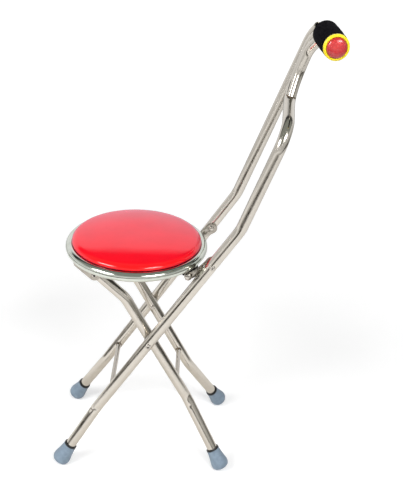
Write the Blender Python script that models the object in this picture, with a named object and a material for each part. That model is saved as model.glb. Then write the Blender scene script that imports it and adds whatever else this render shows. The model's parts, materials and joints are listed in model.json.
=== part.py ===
# Folding cane stool: crossed bent tubes, round padded seat that folds up, rubber feet, foam grip.
# Metres, +Z up, origin on the floor under the middle of the object.
# +X is the handle's side, the seat's hinge is at -X, and the grip runs along Y.

import bpy
import bmesh
import math
from mathutils import Vector, Matrix

# Tubes
TUBE_R = 0.009            # long tubes and short legs
HANDLE_R = 0.008          # handle tube
BAR_R = 0.004             # crossbars and rod
WALL = 0.0012             # wall of the drawn tube
TUBE_RES = 6              # bevel resolution: 2 * 6 + 4 = 16 sides
GAP = 0.0003              # between pieces that touch
MIDDLE_X = 0.0006         # brings the origin under the middle of the object

# Planes of the two frames, measured from the middle plane
LONG_Y = 0.0695
SHORT_Y = 0.049

# Main points in the XZ plane
HINGE_A = Vector((-0.1345, 0.3680))       # seat hinge on the tops of the short legs
PIVOT_B = Vector((-0.0472, 0.2492))       # pivot of the X
RIVET_C = Vector((0.0480, 0.4010))        # support plate's rivet on the long tube
ROD = Vector((0.0120, 0.3745))            # cross rod that the seat's clips drop over
UPPER_K = Vector((0.0873, 0.4638))        # bend of the long tubes above the seat
FRONT_S = Vector((-0.1330, 0.1120))       # splay bend of the long tubes
FRONT_FOOT = Vector((-0.1900, -0.0875, 0.0180))
LEG_U = Vector((-0.0873, 0.3227))         # upper bend of the short legs
LEG_V = Vector((0.0208, 0.1243))          # splay bend of the short legs
REAR_FOOT = Vector((0.0813, -0.0860, 0.0180))
FRONT_BAR = Vector((-0.1092, 0.1500))
REAR_BAR = Vector((0.0019, 0.1590))

# Upper ends, where the tubes lie side by side on the +Y side
STEM_SLOPE = 0.3496       # run of x per metre of height
STEM_X0 = -0.0748
NEAR_STEM_Y = 0.0512
HANDLE_STEM_Y = 0.0339
CROSS_LOW_Z = 0.6198      # where the near tube leaves its plane
CROSS_HIGH_Z = 0.6424     # where it arrives beside the far tube
CROSS_LOW_R = 0.0410
CROSS_HIGH_R = 0.0484
HANDLE_JOINT = math.radians(10)           # place of the handle tube's joint along the near tube's second bend
HANDLE_LOW_Z = 0.6785                     # bend above that joint
HANDLE_LOW_R = 0.050
HANDLE_OFFSET_X = -0.0016
DIAGONAL = Vector((0.385, -0.580, 0.718)).normalized()
TOP_RUN = 0.019
TOP_Z = (0.7255, 0.7190, 0.7125)          # top bends: far tube, near tube, handle tube
TOP_R = 0.032

# Grip
GRIP_X = 0.1886
GRIP_Z = 0.7416
GRIP_R = 0.0185            # at the far end; the near end is a little slimmer
GRIP_NEAR_R = 0.0176
GRIP_FAR_Y = 0.0085
GRIP_NEAR_Y = -0.0800
END_RING_R = 0.0173
END_RING_W = 0.0062
LENS_R = 0.0136

# Seat
SEAT_X = -0.0730
RING_Z = 0.3957
RING_MAJOR = 0.1067
RING_R = 0.0076
BOARD_R = 0.0988
BOARD_Z = (0.3930, 0.4025)
PAD_TOP = 0.4195

# Feet, along the leg's axis
FOOT_BOTTOM = 0.0160      # below the foot's centre point
FOOT_LEN = 0.0400
FOOT_COLLAR_R = 0.0113
FOOT_BULGE_R = 0.0152
FOOT_SOLE = 0.0120        # rubber under the tube's end


def clear_scene():
    for obj in list(bpy.data.objects):
        bpy.data.objects.remove(obj, do_unlink=True)


def make_material(name, color, metallic, roughness):
    mat = bpy.data.materials.new(name)
    mat.use_nodes = True
    bsdf = mat.node_tree.nodes["Principled BSDF"]
    bsdf.inputs["Base Color"].default_value = (color[0], color[1], color[2], 1.0)
    bsdf.inputs["Metallic"].default_value = metallic
    bsdf.inputs["Roughness"].default_value = roughness
    mat.diffuse_color = (color[0], color[1], color[2], 1.0)
    return mat


STEEL = (0.70, 0.68, 0.64)
DARK_STEEL = (0.52, 0.52, 0.50)
CHROME = (0.72, 0.74, 0.70)
BLACK = (0.02, 0.02, 0.022)
RUBBER = (0.23, 0.30, 0.37)


def xyz(flat, y):
    return Vector((flat[0], y, flat[1]))


def stem_point(z, y, dx=0.0):
    return Vector((STEM_SLOPE * z + STEM_X0 + dx, y, z))


def arc_frame(before, corner, after, radius):
    # Centre, two unit directions and angle of the arc that rounds a corner
    a = (before - corner).normalized()
    b = (after - corner).normalized()
    angle = math.pi - a.angle(b)
    start = corner + a * (radius * math.tan(angle / 2))
    centre = corner + (a + b).normalized() * (radius / math.cos(angle / 2))
    u = (start - centre).normalized()
    w = -a - u * (-a).dot(u)
    return centre, u, w.normalized(), angle


def arc_points(centre, u, w, radius, a0, a1, step=9.0):
    count = max(2, math.ceil(math.degrees(abs(a1 - a0)) / step))
    out = []
    for i in range(count + 1):
        a = a0 + (a1 - a0) * i / count
        out.append(centre + u * (radius * math.cos(a)) + w * (radius * math.sin(a)))
    return out


def rounded_path(points, radii, step=9.0):
    out = [points[0]]
    for i in range(1, len(points) - 1):
        centre, u, w, angle = arc_frame(points[i - 1], points[i], points[i + 1], radii[i - 1])
        out += arc_points(centre, u, w, radii[i - 1], 0.0, angle, step)
    out.append(points[-1])
    return out


def link(name, mesh, mat):
    obj = bpy.data.objects.new(name, mesh)
    bpy.context.scene.collection.objects.link(obj)
    if mat is not None:
        mesh.materials.clear()
        mesh.materials.append(mat)
    return obj


def from_bmesh(name, bm, mat, smooth_angle=35.0):
    bmesh.ops.recalc_face_normals(bm, faces=bm.faces)
    mesh = bpy.data.meshes.new(name)
    bm.to_mesh(mesh)
    bm.free()
    mesh.shade_smooth()
    mesh.set_sharp_from_angle(angle=math.radians(smooth_angle))
    return link(name, mesh, mat)


def tube_object(name, points, radius, mat, resolution=TUBE_RES):
    # A bevelled curve with filled caps, made into a mesh for the cutters
    curve = bpy.data.curves.new(name + "_path", "CURVE")
    curve.dimensions = "3D"
    spline = curve.splines.new("POLY")
    spline.points.add(len(points) - 1)
    for i, p in enumerate(points):
        spline.points[i].co = (p.x, p.y, p.z, 1.0)
    curve.bevel_depth = radius
    curve.bevel_resolution = resolution
    curve.use_fill_caps = True
    temp = bpy.data.objects.new(name + "_curve", curve)
    bpy.context.scene.collection.objects.link(temp)
    bpy.context.view_layer.update()
    graph = bpy.context.evaluated_depsgraph_get()
    mesh = bpy.data.meshes.new_from_object(temp.evaluated_get(graph))
    bpy.data.objects.remove(temp, do_unlink=True)
    bm = bmesh.new()
    bm.from_mesh(mesh)
    bmesh.ops.remove_doubles(bm, verts=bm.verts, dist=0.00001)
    bpy.data.meshes.remove(mesh)
    return from_bmesh(name, bm, mat)


def add_lathe(bm, profile, base, axis, steps, closed=False):
    # profile: (radius, distance along the axis); the ends lie on the axis unless the profile is closed
    axis = axis.normalized()
    side = axis.orthogonal().normalized()
    verts = [bm.verts.new(base + side * r + axis * h) for r, h in profile]
    edges = [bm.edges.new((verts[i], verts[i + 1])) for i in range(len(verts) - 1)]
    if closed:
        edges.append(bm.edges.new((verts[-1], verts[0])))
    bmesh.ops.spin(bm, geom=verts + edges, cent=base, axis=axis, angle=2 * math.pi,
                   steps=steps, use_merge=True)
    bmesh.ops.remove_doubles(bm, verts=bm.verts, dist=0.00001)


def lathe_object(name, profile, base, axis, steps, mat, closed=False, smooth_angle=35.0):
    bm = bmesh.new()
    add_lathe(bm, profile, base, axis, steps, closed)
    return from_bmesh(name, bm, mat, smooth_angle)


def dome(radius, height, start, sign, count=3):
    # Profile of a domed head from the rim to the axis
    out = []
    for i in range(count + 1):
        a = math.pi / 2 * i / count
        out.append((radius * math.cos(a), start + sign * height * math.sin(a)))
    out[-1] = (0.0, start + sign * height)
    return out


def rivet_profile(shank_r, head_r, head_h, low, high):
    # One solid: domed head, shank from low to high, domed head
    down = dome(head_r, head_h, low, -1.0)
    down.reverse()
    return down + [(shank_r, low), (shank_r, high)] + dome(head_r, head_h, high, 1.0)


def plate_object(name, outline, y_low, y_high, mat):
    # A flat outline in XZ, extruded along Y
    bm = bmesh.new()
    verts = [bm.verts.new((p[0], y_low, p[1])) for p in outline]
    face = bm.faces.new(verts)
    made = bmesh.ops.extrude_face_region(bm, geom=[face])
    moved = [g for g in made["geom"] if isinstance(g, bmesh.types.BMVert)]
    bmesh.ops.translate(bm, verts=moved, vec=(0.0, y_high - y_low, 0.0))
    return from_bmesh(name, bm, mat, 40.0)


def cylinder_object(name, centre, axis, radius, length, sides, mat):
    bm = bmesh.new()
    bmesh.ops.create_cone(bm, cap_ends=True, segments=sides, radius1=radius, radius2=radius, depth=length)
    turn = Vector((0, 0, 1)).rotation_difference(axis).to_matrix().to_4x4()
    bmesh.ops.transform(bm, matrix=Matrix.Translation(centre) @ turn, verts=bm.verts)
    return from_bmesh(name, bm, mat)


def as_cutter(obj):
    obj.hide_render = True
    obj.display_type = "WIRE"
    return obj


def cut(obj, cutter):
    mod = obj.modifiers.new("cut_" + cutter.name, "BOOLEAN")
    mod.operation = "DIFFERENCE"
    mod.solver = "EXACT"
    mod.object = as_cutter(cutter)


def drill(obj, flat, y_low, y_high, radius, sides=16):
    centre = Vector((flat[0], (y_low + y_high) / 2, flat[1]))
    tool = cylinder_object(obj.name + "_hole_tool", centre, Vector((0, 1, 0)), radius, abs(y_high - y_low),
                           sides, None)
    cut(obj, tool)


def make_axis(name, flat):
    empty = bpy.data.objects.new(name, None)
    empty.empty_display_size = 0.03
    empty.location = (flat[0], 0.0, flat[1])
    bpy.context.scene.collection.objects.link(empty)
    return empty


def place(obj, origin, axis_empty=None):
    # Moves the origin to the piece's own place and hangs the piece on its axis
    obj.data.transform(Matrix.Translation(-origin))
    if axis_empty is None:
        obj.location = origin
    else:
        obj.parent = axis_empty
        obj.location = origin - axis_empty.location


def circle_points(centre, radius, a0, a1, count):
    out = []
    for i in range(count + 1):
        a = a0 + (a1 - a0) * i / count
        out.append(Vector((centre[0] + radius * math.cos(a), centre[1] + radius * math.sin(a))))
    return out


def strap_outline(p, q, r_p, r_q):
    # Two eyes joined by their outer tangents
    line = q - p
    heading = math.atan2(line.y, line.x)
    lean = math.asin((r_q - r_p) / line.length)
    top = heading + math.pi / 2 + lean
    low = heading - math.pi / 2 - lean
    return circle_points(q, r_q, low, top, 10) + circle_points(p, r_p, top, low + 2 * math.pi, 10)


clear_scene()

leg_axis = make_axis("leg_axis", PIVOT_B)
seat_axis = make_axis("seat_axis", HINGE_A)


# Back frame: long tubes
def front_end(y_sign):
    foot = Vector((FRONT_FOOT.x, -FRONT_FOOT.y * y_sign, FRONT_FOOT.z))
    splay = xyz(FRONT_S, LONG_Y * y_sign)
    down = (foot - splay).normalized()
    return foot, splay, down


far_foot, far_splay, far_down = front_end(1.0)
near_foot, near_splay, near_down = front_end(-1.0)
tube_stop = FOOT_BOTTOM - FOOT_SOLE

far_top = stem_point(TOP_Z[0], LONG_Y)
far_end = far_top + DIAGONAL * TOP_RUN
far_path = rounded_path(
    [far_foot + far_down * tube_stop, far_splay, xyz(UPPER_K, LONG_Y), far_top, far_end],
    [0.06, 0.08, TOP_R])

cross_low = stem_point(CROSS_LOW_Z, -LONG_Y, -0.0014)
cross_high = stem_point(CROSS_HIGH_Z, NEAR_STEM_Y, 0.0037)
near_top = stem_point(TOP_Z[1], NEAR_STEM_Y)
near_end = near_top + DIAGONAL * TOP_RUN
near_path = rounded_path(
    [near_foot + near_down * tube_stop, near_splay, xyz(UPPER_K, -LONG_Y), cross_low, cross_high, near_top,
     near_end],
    [0.06, 0.08, CROSS_LOW_R, CROSS_HIGH_R, TOP_R])

for side, path, end in ((1.0, far_path, far_end), (-1.0, near_path, near_end)):
    name = "long_tube_far" if side > 0 else "long_tube_near"
    tube = tube_object(name, path, TUBE_R, make_material(name + "_steel", STEEL, 1.0, 0.28))
    inner = LONG_Y - TUBE_R
    drill(tube, PIVOT_B, side * (inner - 0.002), side * (LONG_Y + TUBE_R + 0.002), 0.0033)
    drill(tube, RIVET_C, side * (inner - 0.002), side * (LONG_Y + TUBE_R + 0.002), 0.0028)
    drill(tube, FRONT_BAR, side * (inner - 0.002), side * (inner + 0.0035), BAR_R + GAP)
    # the bore that the plug sits in
    cut(tube, cylinder_object(name + "_bore_tool", end, DIAGONAL, TUBE_R - WALL, 0.024, 20, None))
    place(tube, xyz(PIVOT_B, side * LONG_Y))

# Plugs in the long tubes' top ends
plug_r = TUBE_R - WALL - GAP
plug_profile = [(0.0, -0.0100), (plug_r, -0.0100), (plug_r, GAP), (TUBE_R - 0.0001, GAP),
                (TUBE_R - 0.0001, 0.0016), (TUBE_R - 0.0012, 0.0028), (0.0, 0.0032)]
for name, end in (("tube_plug_far", far_end), ("tube_plug_near", near_end)):
    plug = lathe_object(name, plug_profile, end, DIAGONAL, 20,
                        make_material(name + "_plastic", BLACK, 0.0, 0.5))
    place(plug, end)

# Handle tube: its lower end is coped to sit on the near tube's bend, then it rises beside it and becomes the
# grip's core
bend_centre, bend_u, bend_w, bend_angle = arc_frame(cross_low, cross_high, near_top, CROSS_HIGH_R)
joint = bend_centre + (bend_u * math.cos(HANDLE_JOINT) + bend_w * math.sin(HANDLE_JOINT)) * CROSS_HIGH_R
handle_low = stem_point(HANDLE_LOW_Z, HANDLE_STEM_Y, HANDLE_OFFSET_X)
handle_top = stem_point(TOP_Z[2], HANDLE_STEM_Y, -0.0018)
grip_bend = Vector((GRIP_X, 0.0100, GRIP_Z))
handle_end = Vector((GRIP_X, GRIP_NEAR_Y + 0.0005, GRIP_Z))
handle_path = rounded_path([joint, handle_low, handle_top, grip_bend, handle_end], [HANDLE_LOW_R, 0.030, 0.0230])
handle = tube_object("handle_tube", handle_path, HANDLE_R, make_material("handle_steel", STEEL, 1.0, 0.28))
cut(handle, tube_object("handle_cope_tool", near_path, TUBE_R + GAP, None))
cut(handle, cylinder_object("handle_plug_tool", handle_end, Vector((0, 1, 0)), HANDLE_R - WALL, 0.040, 20,
                            None))
place(handle, handle_top)

# Foam grip on the handle tube
grip_len = GRIP_FAR_Y - GRIP_NEAR_Y
grip_bore = HANDLE_R + GAP
grip_profile = [(grip_bore, 0.0), (GRIP_NEAR_R - 0.0012, 0.0), (GRIP_NEAR_R, 0.0014),
                (GRIP_R, grip_len * 0.55), (GRIP_R, grip_len - 0.0030), (GRIP_R - 0.0008, grip_len - 0.0010),
                (GRIP_R - 0.0028, grip_len), (grip_bore, grip_len)]
grip = lathe_object("handle_grip", grip_profile, Vector((GRIP_X, GRIP_NEAR_Y, GRIP_Z)), Vector((0, 1, 0)), 28,
                    make_material("grip_foam", BLACK, 0.0, 0.85), closed=True)

# The tube bends inside the grip's far mouth, so the mouth opens with the bend
mouth_path = rounded_path([handle_top, grip_bend, Vector((GRIP_X, -0.030, GRIP_Z))], [0.0230])
cut(grip, tube_object("grip_mouth_tool", mouth_path, grip_bore, None))
place(grip, Vector((GRIP_X, (GRIP_FAR_Y + GRIP_NEAR_Y) / 2, GRIP_Z)))

# End fitting of the grip: yellow ring, red lens and the plug behind it
ring_y = GRIP_NEAR_Y - GAP
ring_profile = [(HANDLE_R - WALL + 0.0002, 0.0), (END_RING_R, 0.0), (END_RING_R, END_RING_W - 0.0012),
                (END_RING_R - 0.0012, END_RING_W), (LENS_R + GAP, END_RING_W), (LENS_R + GAP, 0.0028),
                (HANDLE_R - WALL + 0.0002, 0.0028)]
end_ring = lathe_object("grip_end_ring", ring_profile, Vector((GRIP_X, ring_y, GRIP_Z)), Vector((0, -1, 0)), 28,
                        make_material("ring_yellow", (0.95, 0.78, 0.03), 0.0, 0.35), closed=True)
place(end_ring, Vector((GRIP_X, ring_y, GRIP_Z)))
lens_base = 0.0028 + GAP
lens_profile = [(0.0, lens_base + 0.0014), (0.0115, lens_base + 0.0014), (0.0115, lens_base),
                (LENS_R, lens_base), (LENS_R, 0.0062)] + dome(LENS_R, 0.0055, 0.0062, 1.0, 5)[1:]
lens = lathe_object("grip_end_reflector", lens_profile, Vector((GRIP_X, ring_y, GRIP_Z)), Vector((0, -1, 0)),
                    24, make_material("lens_red", (0.75, 0.03, 0.04), 0.0, 0.15))
place(lens, Vector((GRIP_X, ring_y, GRIP_Z)))
stem_r = HANDLE_R - WALL - 0.0003
plug_head = [(0.0, -0.0150), (stem_r - 0.0010, -0.0150), (stem_r, -0.0140), (stem_r, 0.0028 + GAP),
             (0.0105, 0.0028 + GAP), (0.0105, lens_base + 0.0011), (0.0, lens_base + 0.0011)]
end_plug = lathe_object("grip_end_plug", plug_head, Vector((GRIP_X, ring_y, GRIP_Z)), Vector((0, -1, 0)), 24,
                        make_material("plug_black", BLACK, 0.0, 0.5))
place(end_plug, Vector((GRIP_X, ring_y, GRIP_Z)))

# Front crossbar, set into the long tubes' inner walls
bar_end = LONG_Y - TUBE_R + 0.0032
front_bar = cylinder_object("front_crossbar", xyz(FRONT_BAR, 0.0), Vector((0, 1, 0)), BAR_R, 2 * bar_end, 16,
                            make_material("front_bar_steel", STEEL, 1.0, 0.25))
place(front_bar, xyz(FRONT_BAR, 0.0))


# Support plates: a round eye on the tube's rivet, a relieved neck under the seat ring, an eye for the rod
def support_outline():
    line = RIVET_C - ROD
    heading = math.atan2(line.y, line.x)
    length = line.length
    eye_rod = 0.0065
    eye_rivet = 0.0100
    lean = math.asin((eye_rivet - eye_rod) / length)
    along = line.normalized()
    up = Vector((-along.y, along.x))
    low = heading - math.pi / 2 - lean
    points = circle_points(RIVET_C, eye_rivet, low, heading + math.radians(120), 14)
    points.append(ROD + along * (length - 0.0115) + up * 0.0068)
    points.append(ROD + along * 0.0240 + up * 0.0048)
    points.append(ROD + along * 0.0140 + up * 0.0040)
    points.append(ROD + along * 0.0080 + up * 0.0042)
    points += circle_points(ROD, eye_rod, heading + math.radians(45), low + 2 * math.pi, 12)
    return points


plate_in = LONG_Y - TUBE_R - GAP - 0.0016
plate_out = LONG_Y - TUBE_R - GAP
spare_hole = ROD + (RIVET_C - ROD).normalized() * 0.0310
for side in (1.0, -1.0):
    name = "support_plate_far" if side > 0 else "support_plate_near"
    plate = plate_object(name, support_outline(), side * plate_in, side * plate_out,
                         make_material(name + "_steel", STEEL, 1.0, 0.3))
    for flat, radius in ((RIVET_C, 0.0028), (ROD, BAR_R + GAP), (spare_hole, 0.0022)):
        drill(plate, flat, side * (plate_in - 0.003), side * (plate_out + 0.003), radius)
    place(plate, xyz(RIVET_C, side * plate_out))

# Cross rod with a domed cap pushed on each end
rod_half = LONG_Y - TUBE_R + 0.0028
rod = cylinder_object("support_rod", xyz(ROD, 0.0), Vector((0, 1, 0)), BAR_R, 2 * rod_half, 16,
                      make_material("rod_steel", DARK_STEEL, 1.0, 0.25))
place(rod, xyz(ROD, 0.0))
cap_start = LONG_Y - TUBE_R
cap_profile = [(0.0, rod_half + GAP), (BAR_R + GAP, rod_half + GAP), (BAR_R + GAP, cap_start),
               (0.0058, cap_start), (0.0058, cap_start + 0.0030)] + dome(0.0058, 0.0024, cap_start + 0.0030,
                                                                        1.0)[1:]


def side_pair(stem, profile, flat, steps, color, roughness, axis_empty=None, closed=False):
    # The same turned piece on the far and on the near side
    for side, word in ((1.0, "far"), (-1.0, "near")):
        name = stem + "_" + word
        piece = lathe_object(name, profile, xyz(flat, 0.0), Vector((0, side, 0)), steps,
                             make_material(name + "_steel", color, 1.0, roughness), closed)
        place(piece, xyz(flat, side * profile[0][1]), axis_empty)


side_pair("rod_cap", cap_profile, ROD, 16, STEEL, 0.25)

# Rivets of the support plates and of the X, and the washers between the crossed tubes
outside = LONG_Y + TUBE_R + GAP
side_pair("support_rivet", rivet_profile(0.0025, 0.0046, 0.0018, plate_in - GAP, outside), RIVET_C, 14, STEEL,
          0.22)
side_pair("pivot_rivet", rivet_profile(0.0030, 0.0046, 0.0014, SHORT_Y - TUBE_R - GAP, outside), PIVOT_B, 14,
          STEEL, 0.22)

washer_in = SHORT_Y + TUBE_R + GAP
washer_out = LONG_Y - TUBE_R - GAP
washer_profile = [(0.0033, washer_in), (0.0075, washer_in), (0.0075, washer_out), (0.0033, washer_out)]
side_pair("pivot_spacer", washer_profile, PIVOT_B, 24, DARK_STEEL, 0.35, closed=True)


# Rubber feet: a bell on the leg's axis, cut level where it stands on the floor
def foot_object(name, centre, down, body_axis):
    base = centre + down * FOOT_BOTTOM
    up = -down
    sole = 0.0
    bore = TUBE_R + GAP
    profile = [(0.0, sole), (0.0060, sole), (0.0106, sole + 0.0009), (0.0136, sole + 0.0032),
               (0.0149, sole + 0.0062), (FOOT_BULGE_R, sole + 0.0094), (0.0146, sole + 0.0145),
               (0.0132, sole + 0.0215), (0.0120, sole + 0.0285), (FOOT_COLLAR_R, sole + 0.0345),
               (FOOT_COLLAR_R, sole + FOOT_LEN - 0.0008), (0.0108, sole + FOOT_LEN), (bore, sole + FOOT_LEN),
               (bore, sole + FOOT_SOLE - GAP), (0.0, sole + FOOT_SOLE - GAP)]
    foot = lathe_object(name, profile, base, up, 20, make_material(name + "_rubber", RUBBER, 0.0, 0.6))
    bm = bmesh.new()
    bmesh.ops.create_cube(bm, size=0.06)
    bmesh.ops.translate(bm, verts=bm.verts, vec=(base.x, base.y, -0.03))
    cut(foot, from_bmesh(name + "_floor_tool", bm, None))
    place(foot, centre, body_axis)
    return foot


foot_object("front_foot_far", far_foot, far_down, None)
foot_object("front_foot_near", near_foot, near_down, None)

# Leg frame: short legs inside the long tubes
for side in (1.0, -1.0):
    name = "short_leg_far" if side > 0 else "short_leg_near"
    foot = Vector((REAR_FOOT.x, -REAR_FOOT.y * side, REAR_FOOT.z))
    splay = xyz(LEG_V, SHORT_Y * side)
    down = (foot - splay).normalized()
    elbow = xyz(LEG_U, SHORT_Y * side)
    hinge = xyz(HINGE_A, SHORT_Y * side)
    out = (hinge - elbow).normalized()
    top = hinge + out * 0.0085
    path = rounded_path([foot + down * tube_stop, splay, elbow, top], [0.06, 0.05])
    leg = tube_object(name, path, TUBE_R, make_material(name + "_steel", STEEL, 1.0, 0.28))
    inner = side * (SHORT_Y - TUBE_R - 0.002)
    outer = side * (SHORT_Y + TUBE_R + 0.002)
    drill(leg, PIVOT_B, inner, outer, 0.0033)
    drill(leg, HINGE_A, inner, outer, 0.0028)
    drill(leg, REAR_BAR, inner, side * (SHORT_Y - TUBE_R + 0.0035), BAR_R + GAP)
    cut(leg, cylinder_object(name + "_bore_tool", top, out, TUBE_R - WALL, 0.040, 20, None))
    place(leg, xyz(PIVOT_B, side * SHORT_Y), leg_axis)
    foot_object("rear_foot_far" if side > 0 else "rear_foot_near", foot, down, leg_axis)

bar_end = SHORT_Y - TUBE_R + 0.0032
rear_bar = cylinder_object("rear_crossbar", xyz(REAR_BAR, 0.0), Vector((0, 1, 0)), BAR_R, 2 * bar_end, 16,
                           make_material("rear_bar_steel", STEEL, 1.0, 0.25))
place(rear_bar, xyz(REAR_BAR, 0.0), leg_axis)

# Seat: ring, board, pad
seat_centre = Vector((SEAT_X, 0.0, RING_Z))


def ring_mesh(name, minor, mat):
    profile = []
    for i in range(12):
        a = 2 * math.pi * i / 12
        profile.append((RING_MAJOR + minor * math.cos(a), minor * math.sin(a)))
    return lathe_object(name, profile, seat_centre, Vector((0, 0, 1)), 60, mat, closed=True)


ring = ring_mesh("seat_ring", RING_R, make_material("ring_steel", CHROME, 1.0, 0.2))
place(ring, seat_centre, seat_axis)

board_profile = [(0.0, BOARD_Z[0]), (BOARD_R - 0.0008, BOARD_Z[0]), (BOARD_R, BOARD_Z[0] + 0.0008),
                 (BOARD_R, BOARD_Z[1] - 0.0008), (BOARD_R - 0.0008, BOARD_Z[1]), (0.0, BOARD_Z[1])]
board = lathe_object("seat_board", board_profile, Vector((SEAT_X, 0, 0)), Vector((0, 0, 1)), 40,
                     make_material("board_black", (0.03, 0.03, 0.03), 0.0, 0.6))


# Pad: sides drawn in under the edge, a quick round shoulder and a low crown
def pad_profile():
    rim = 0.1046
    shoulder = 0.4118
    bottom = BOARD_Z[1] + GAP
    points = [(0.0, bottom), (0.0700, bottom), (0.1018, bottom), (0.1034, 0.4034), (rim, 0.4053),
              (rim - 0.0001, 0.4078), (0.1031, 0.4101), (0.1000, shoulder)]
    for r in (0.094, 0.084, 0.070, 0.052, 0.030, 0.0):
        points.append((r, PAD_TOP - (PAD_TOP - shoulder) * (r / 0.1) ** 2.3))
    return points


cushion = lathe_object("seat_cushion", pad_profile(), Vector((SEAT_X, 0, 0)), Vector((0, 0, 1)), 56,
                       make_material("pad_vinyl", (0.80, 0.01, 0.01), 0.0, 0.35), smooth_angle=60.0)
place(cushion, seat_centre, seat_axis)

# Hinge plates, welded under the ring and riveted to the short legs
hinge_in = SHORT_Y + TUBE_R + GAP
hinge_out = hinge_in + 0.0020
for side in (1.0, -1.0):
    name = "hinge_plate_far" if side > 0 else "hinge_plate_near"
    outline = strap_outline(HINGE_A, Vector((-0.1590, 0.3880)), 0.0095, 0.0075)
    plate = plate_object(name, outline, side * hinge_in, side * hinge_out,
                         make_material(name + "_steel", DARK_STEEL, 1.0, 0.3))
    drill(plate, HINGE_A, side * (hinge_in - 0.003), side * (hinge_out + 0.003), 0.0028)
    cut(plate, ring_mesh(name + "_ring_tool", RING_R + GAP, None))
    place(plate, xyz(HINGE_A, side * hinge_in), seat_axis)

side_pair("hinge_rivet", rivet_profile(0.0025, 0.0042, 0.0016, SHORT_Y - TUBE_R - GAP, hinge_out + GAP), HINGE_A,
          14, DARK_STEEL, 0.22, seat_axis)

# U-clips under the seat's rear edge: the slot opens the way the rod leaves it
slot_out = Vector((-0.450, -0.893)).normalized()
slot_side = Vector((-slot_out.y, slot_out.x))
clip_y = (0.0435, 0.0535)


def clip_outline():
    half = 0.0076
    slot = BAR_R + 0.0004
    drop = 0.0065
    flange_low = BOARD_Z[0] - GAP - 0.0030
    flange_high = BOARD_Z[0] - GAP
    under_ring = RING_Z - RING_R - 0.0004
    left_foot = ROD - slot_side * half + slot_out * drop
    right_foot = ROD + slot_side * half + slot_out * drop
    right_top = right_foot - slot_out * ((under_ring - right_foot.y) / -slot_out.y)
    points = [Vector((-0.0140, flange_low)), Vector((0.0025, flange_low)), Vector((0.0050, 0.3850)), left_foot,
              ROD - slot_side * slot + slot_out * drop]
    start = math.atan2(-slot_side.y, -slot_side.x)
    arc = circle_points(ROD, slot, start, start - math.pi, 10)
    points += arc
    points += [ROD + slot_side * slot + slot_out * drop, right_foot, right_top,
               Vector((0.0085, under_ring)), Vector((0.0085, flange_high)), Vector((-0.0140, flange_high))]
    return points


screw_x = -0.0070
for side in (1.0, -1.0):
    name = "rod_clip_far" if side > 0 else "rod_clip_near"
    clip = plate_object(name, clip_outline(), side * clip_y[0], side * clip_y[1],
                        make_material(name + "_plastic", BLACK, 0.0, 0.45))
    cut(clip, cylinder_object(name + "_screw_tool", Vector((screw_x, side * 0.0485, BOARD_Z[0])),
                              Vector((0, 0, 1)), 0.0018, 0.02, 12, None))
    place(clip, xyz(ROD, side * 0.0485), seat_axis)

# Pan-head screws driven up into the board through the piece that they hold
def screw_up(name, spot, under, holed):
    top = 0.4005
    profile = dome(0.0032, 0.0018, under, -1.0, 3)
    profile.reverse()
    profile += [(0.0015, under), (0.0015, top - 0.0012), (0.0, top)]
    screw = lathe_object(name, profile, spot, Vector((0, 0, 1)), 12,
                         make_material(name + "_steel", DARK_STEEL, 1.0, 0.3))
    tool = cylinder_object(name + "_hole_tool", spot + Vector((0, 0, top + GAP - 0.0100)), Vector((0, 0, 1)),
                           0.0018, 0.0200, 12, None)
    for piece in holed:
        cut(piece, tool)
    place(screw, spot + Vector((0, 0, under)), seat_axis)


# Tabs welded inside the ring, under the board
tab_high = BOARD_Z[0] - GAP
tab_low = tab_high - 0.0015
for i, word in enumerate(("rear", "far", "front", "near")):
    turn = Matrix.Translation(Vector((SEAT_X, 0, 0))) @ Matrix.Rotation(math.pi / 2 * i, 4, "Z")
    bm = bmesh.new()
    made = bmesh.ops.create_cube(bm, size=1.0)
    size = Matrix.Diagonal((0.0155, 0.0140, 0.0015, 1.0))
    spot = turn @ Matrix.Translation(Vector((0.09165, 0, (tab_low + tab_high) / 2)))
    bmesh.ops.transform(bm, matrix=spot @ size, verts=made["verts"])
    tab = from_bmesh("board_tab_" + word, bm, make_material("tab_steel_" + word, DARK_STEEL, 1.0, 0.4))
    screw_up("tab_screw_" + word, turn @ Vector((0.0890, 0.0, 0.0)), tab_low - GAP, (tab, board))
    place(tab, spot.translation, seat_axis)

for side, word in ((1.0, "far"), (-1.0, "near")):
    screw_up("clip_screw_" + word, Vector((screw_x, side * 0.0485, 0.0)), BOARD_Z[0] - 2 * GAP - 0.0030,
             (board,))
place(board, seat_centre, seat_axis)

# Everything that hangs on nothing moves together
for obj in bpy.data.objects:
    if obj.parent is None:
        obj.location.x += MIDDLE_X
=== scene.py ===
# Folding cane stool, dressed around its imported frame.
# Metres, Z up, the handle towards +X, the side that faces the camera towards -Y.

import bpy
import bmesh
import json
import math
from mathutils import Matrix, Vector

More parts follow.
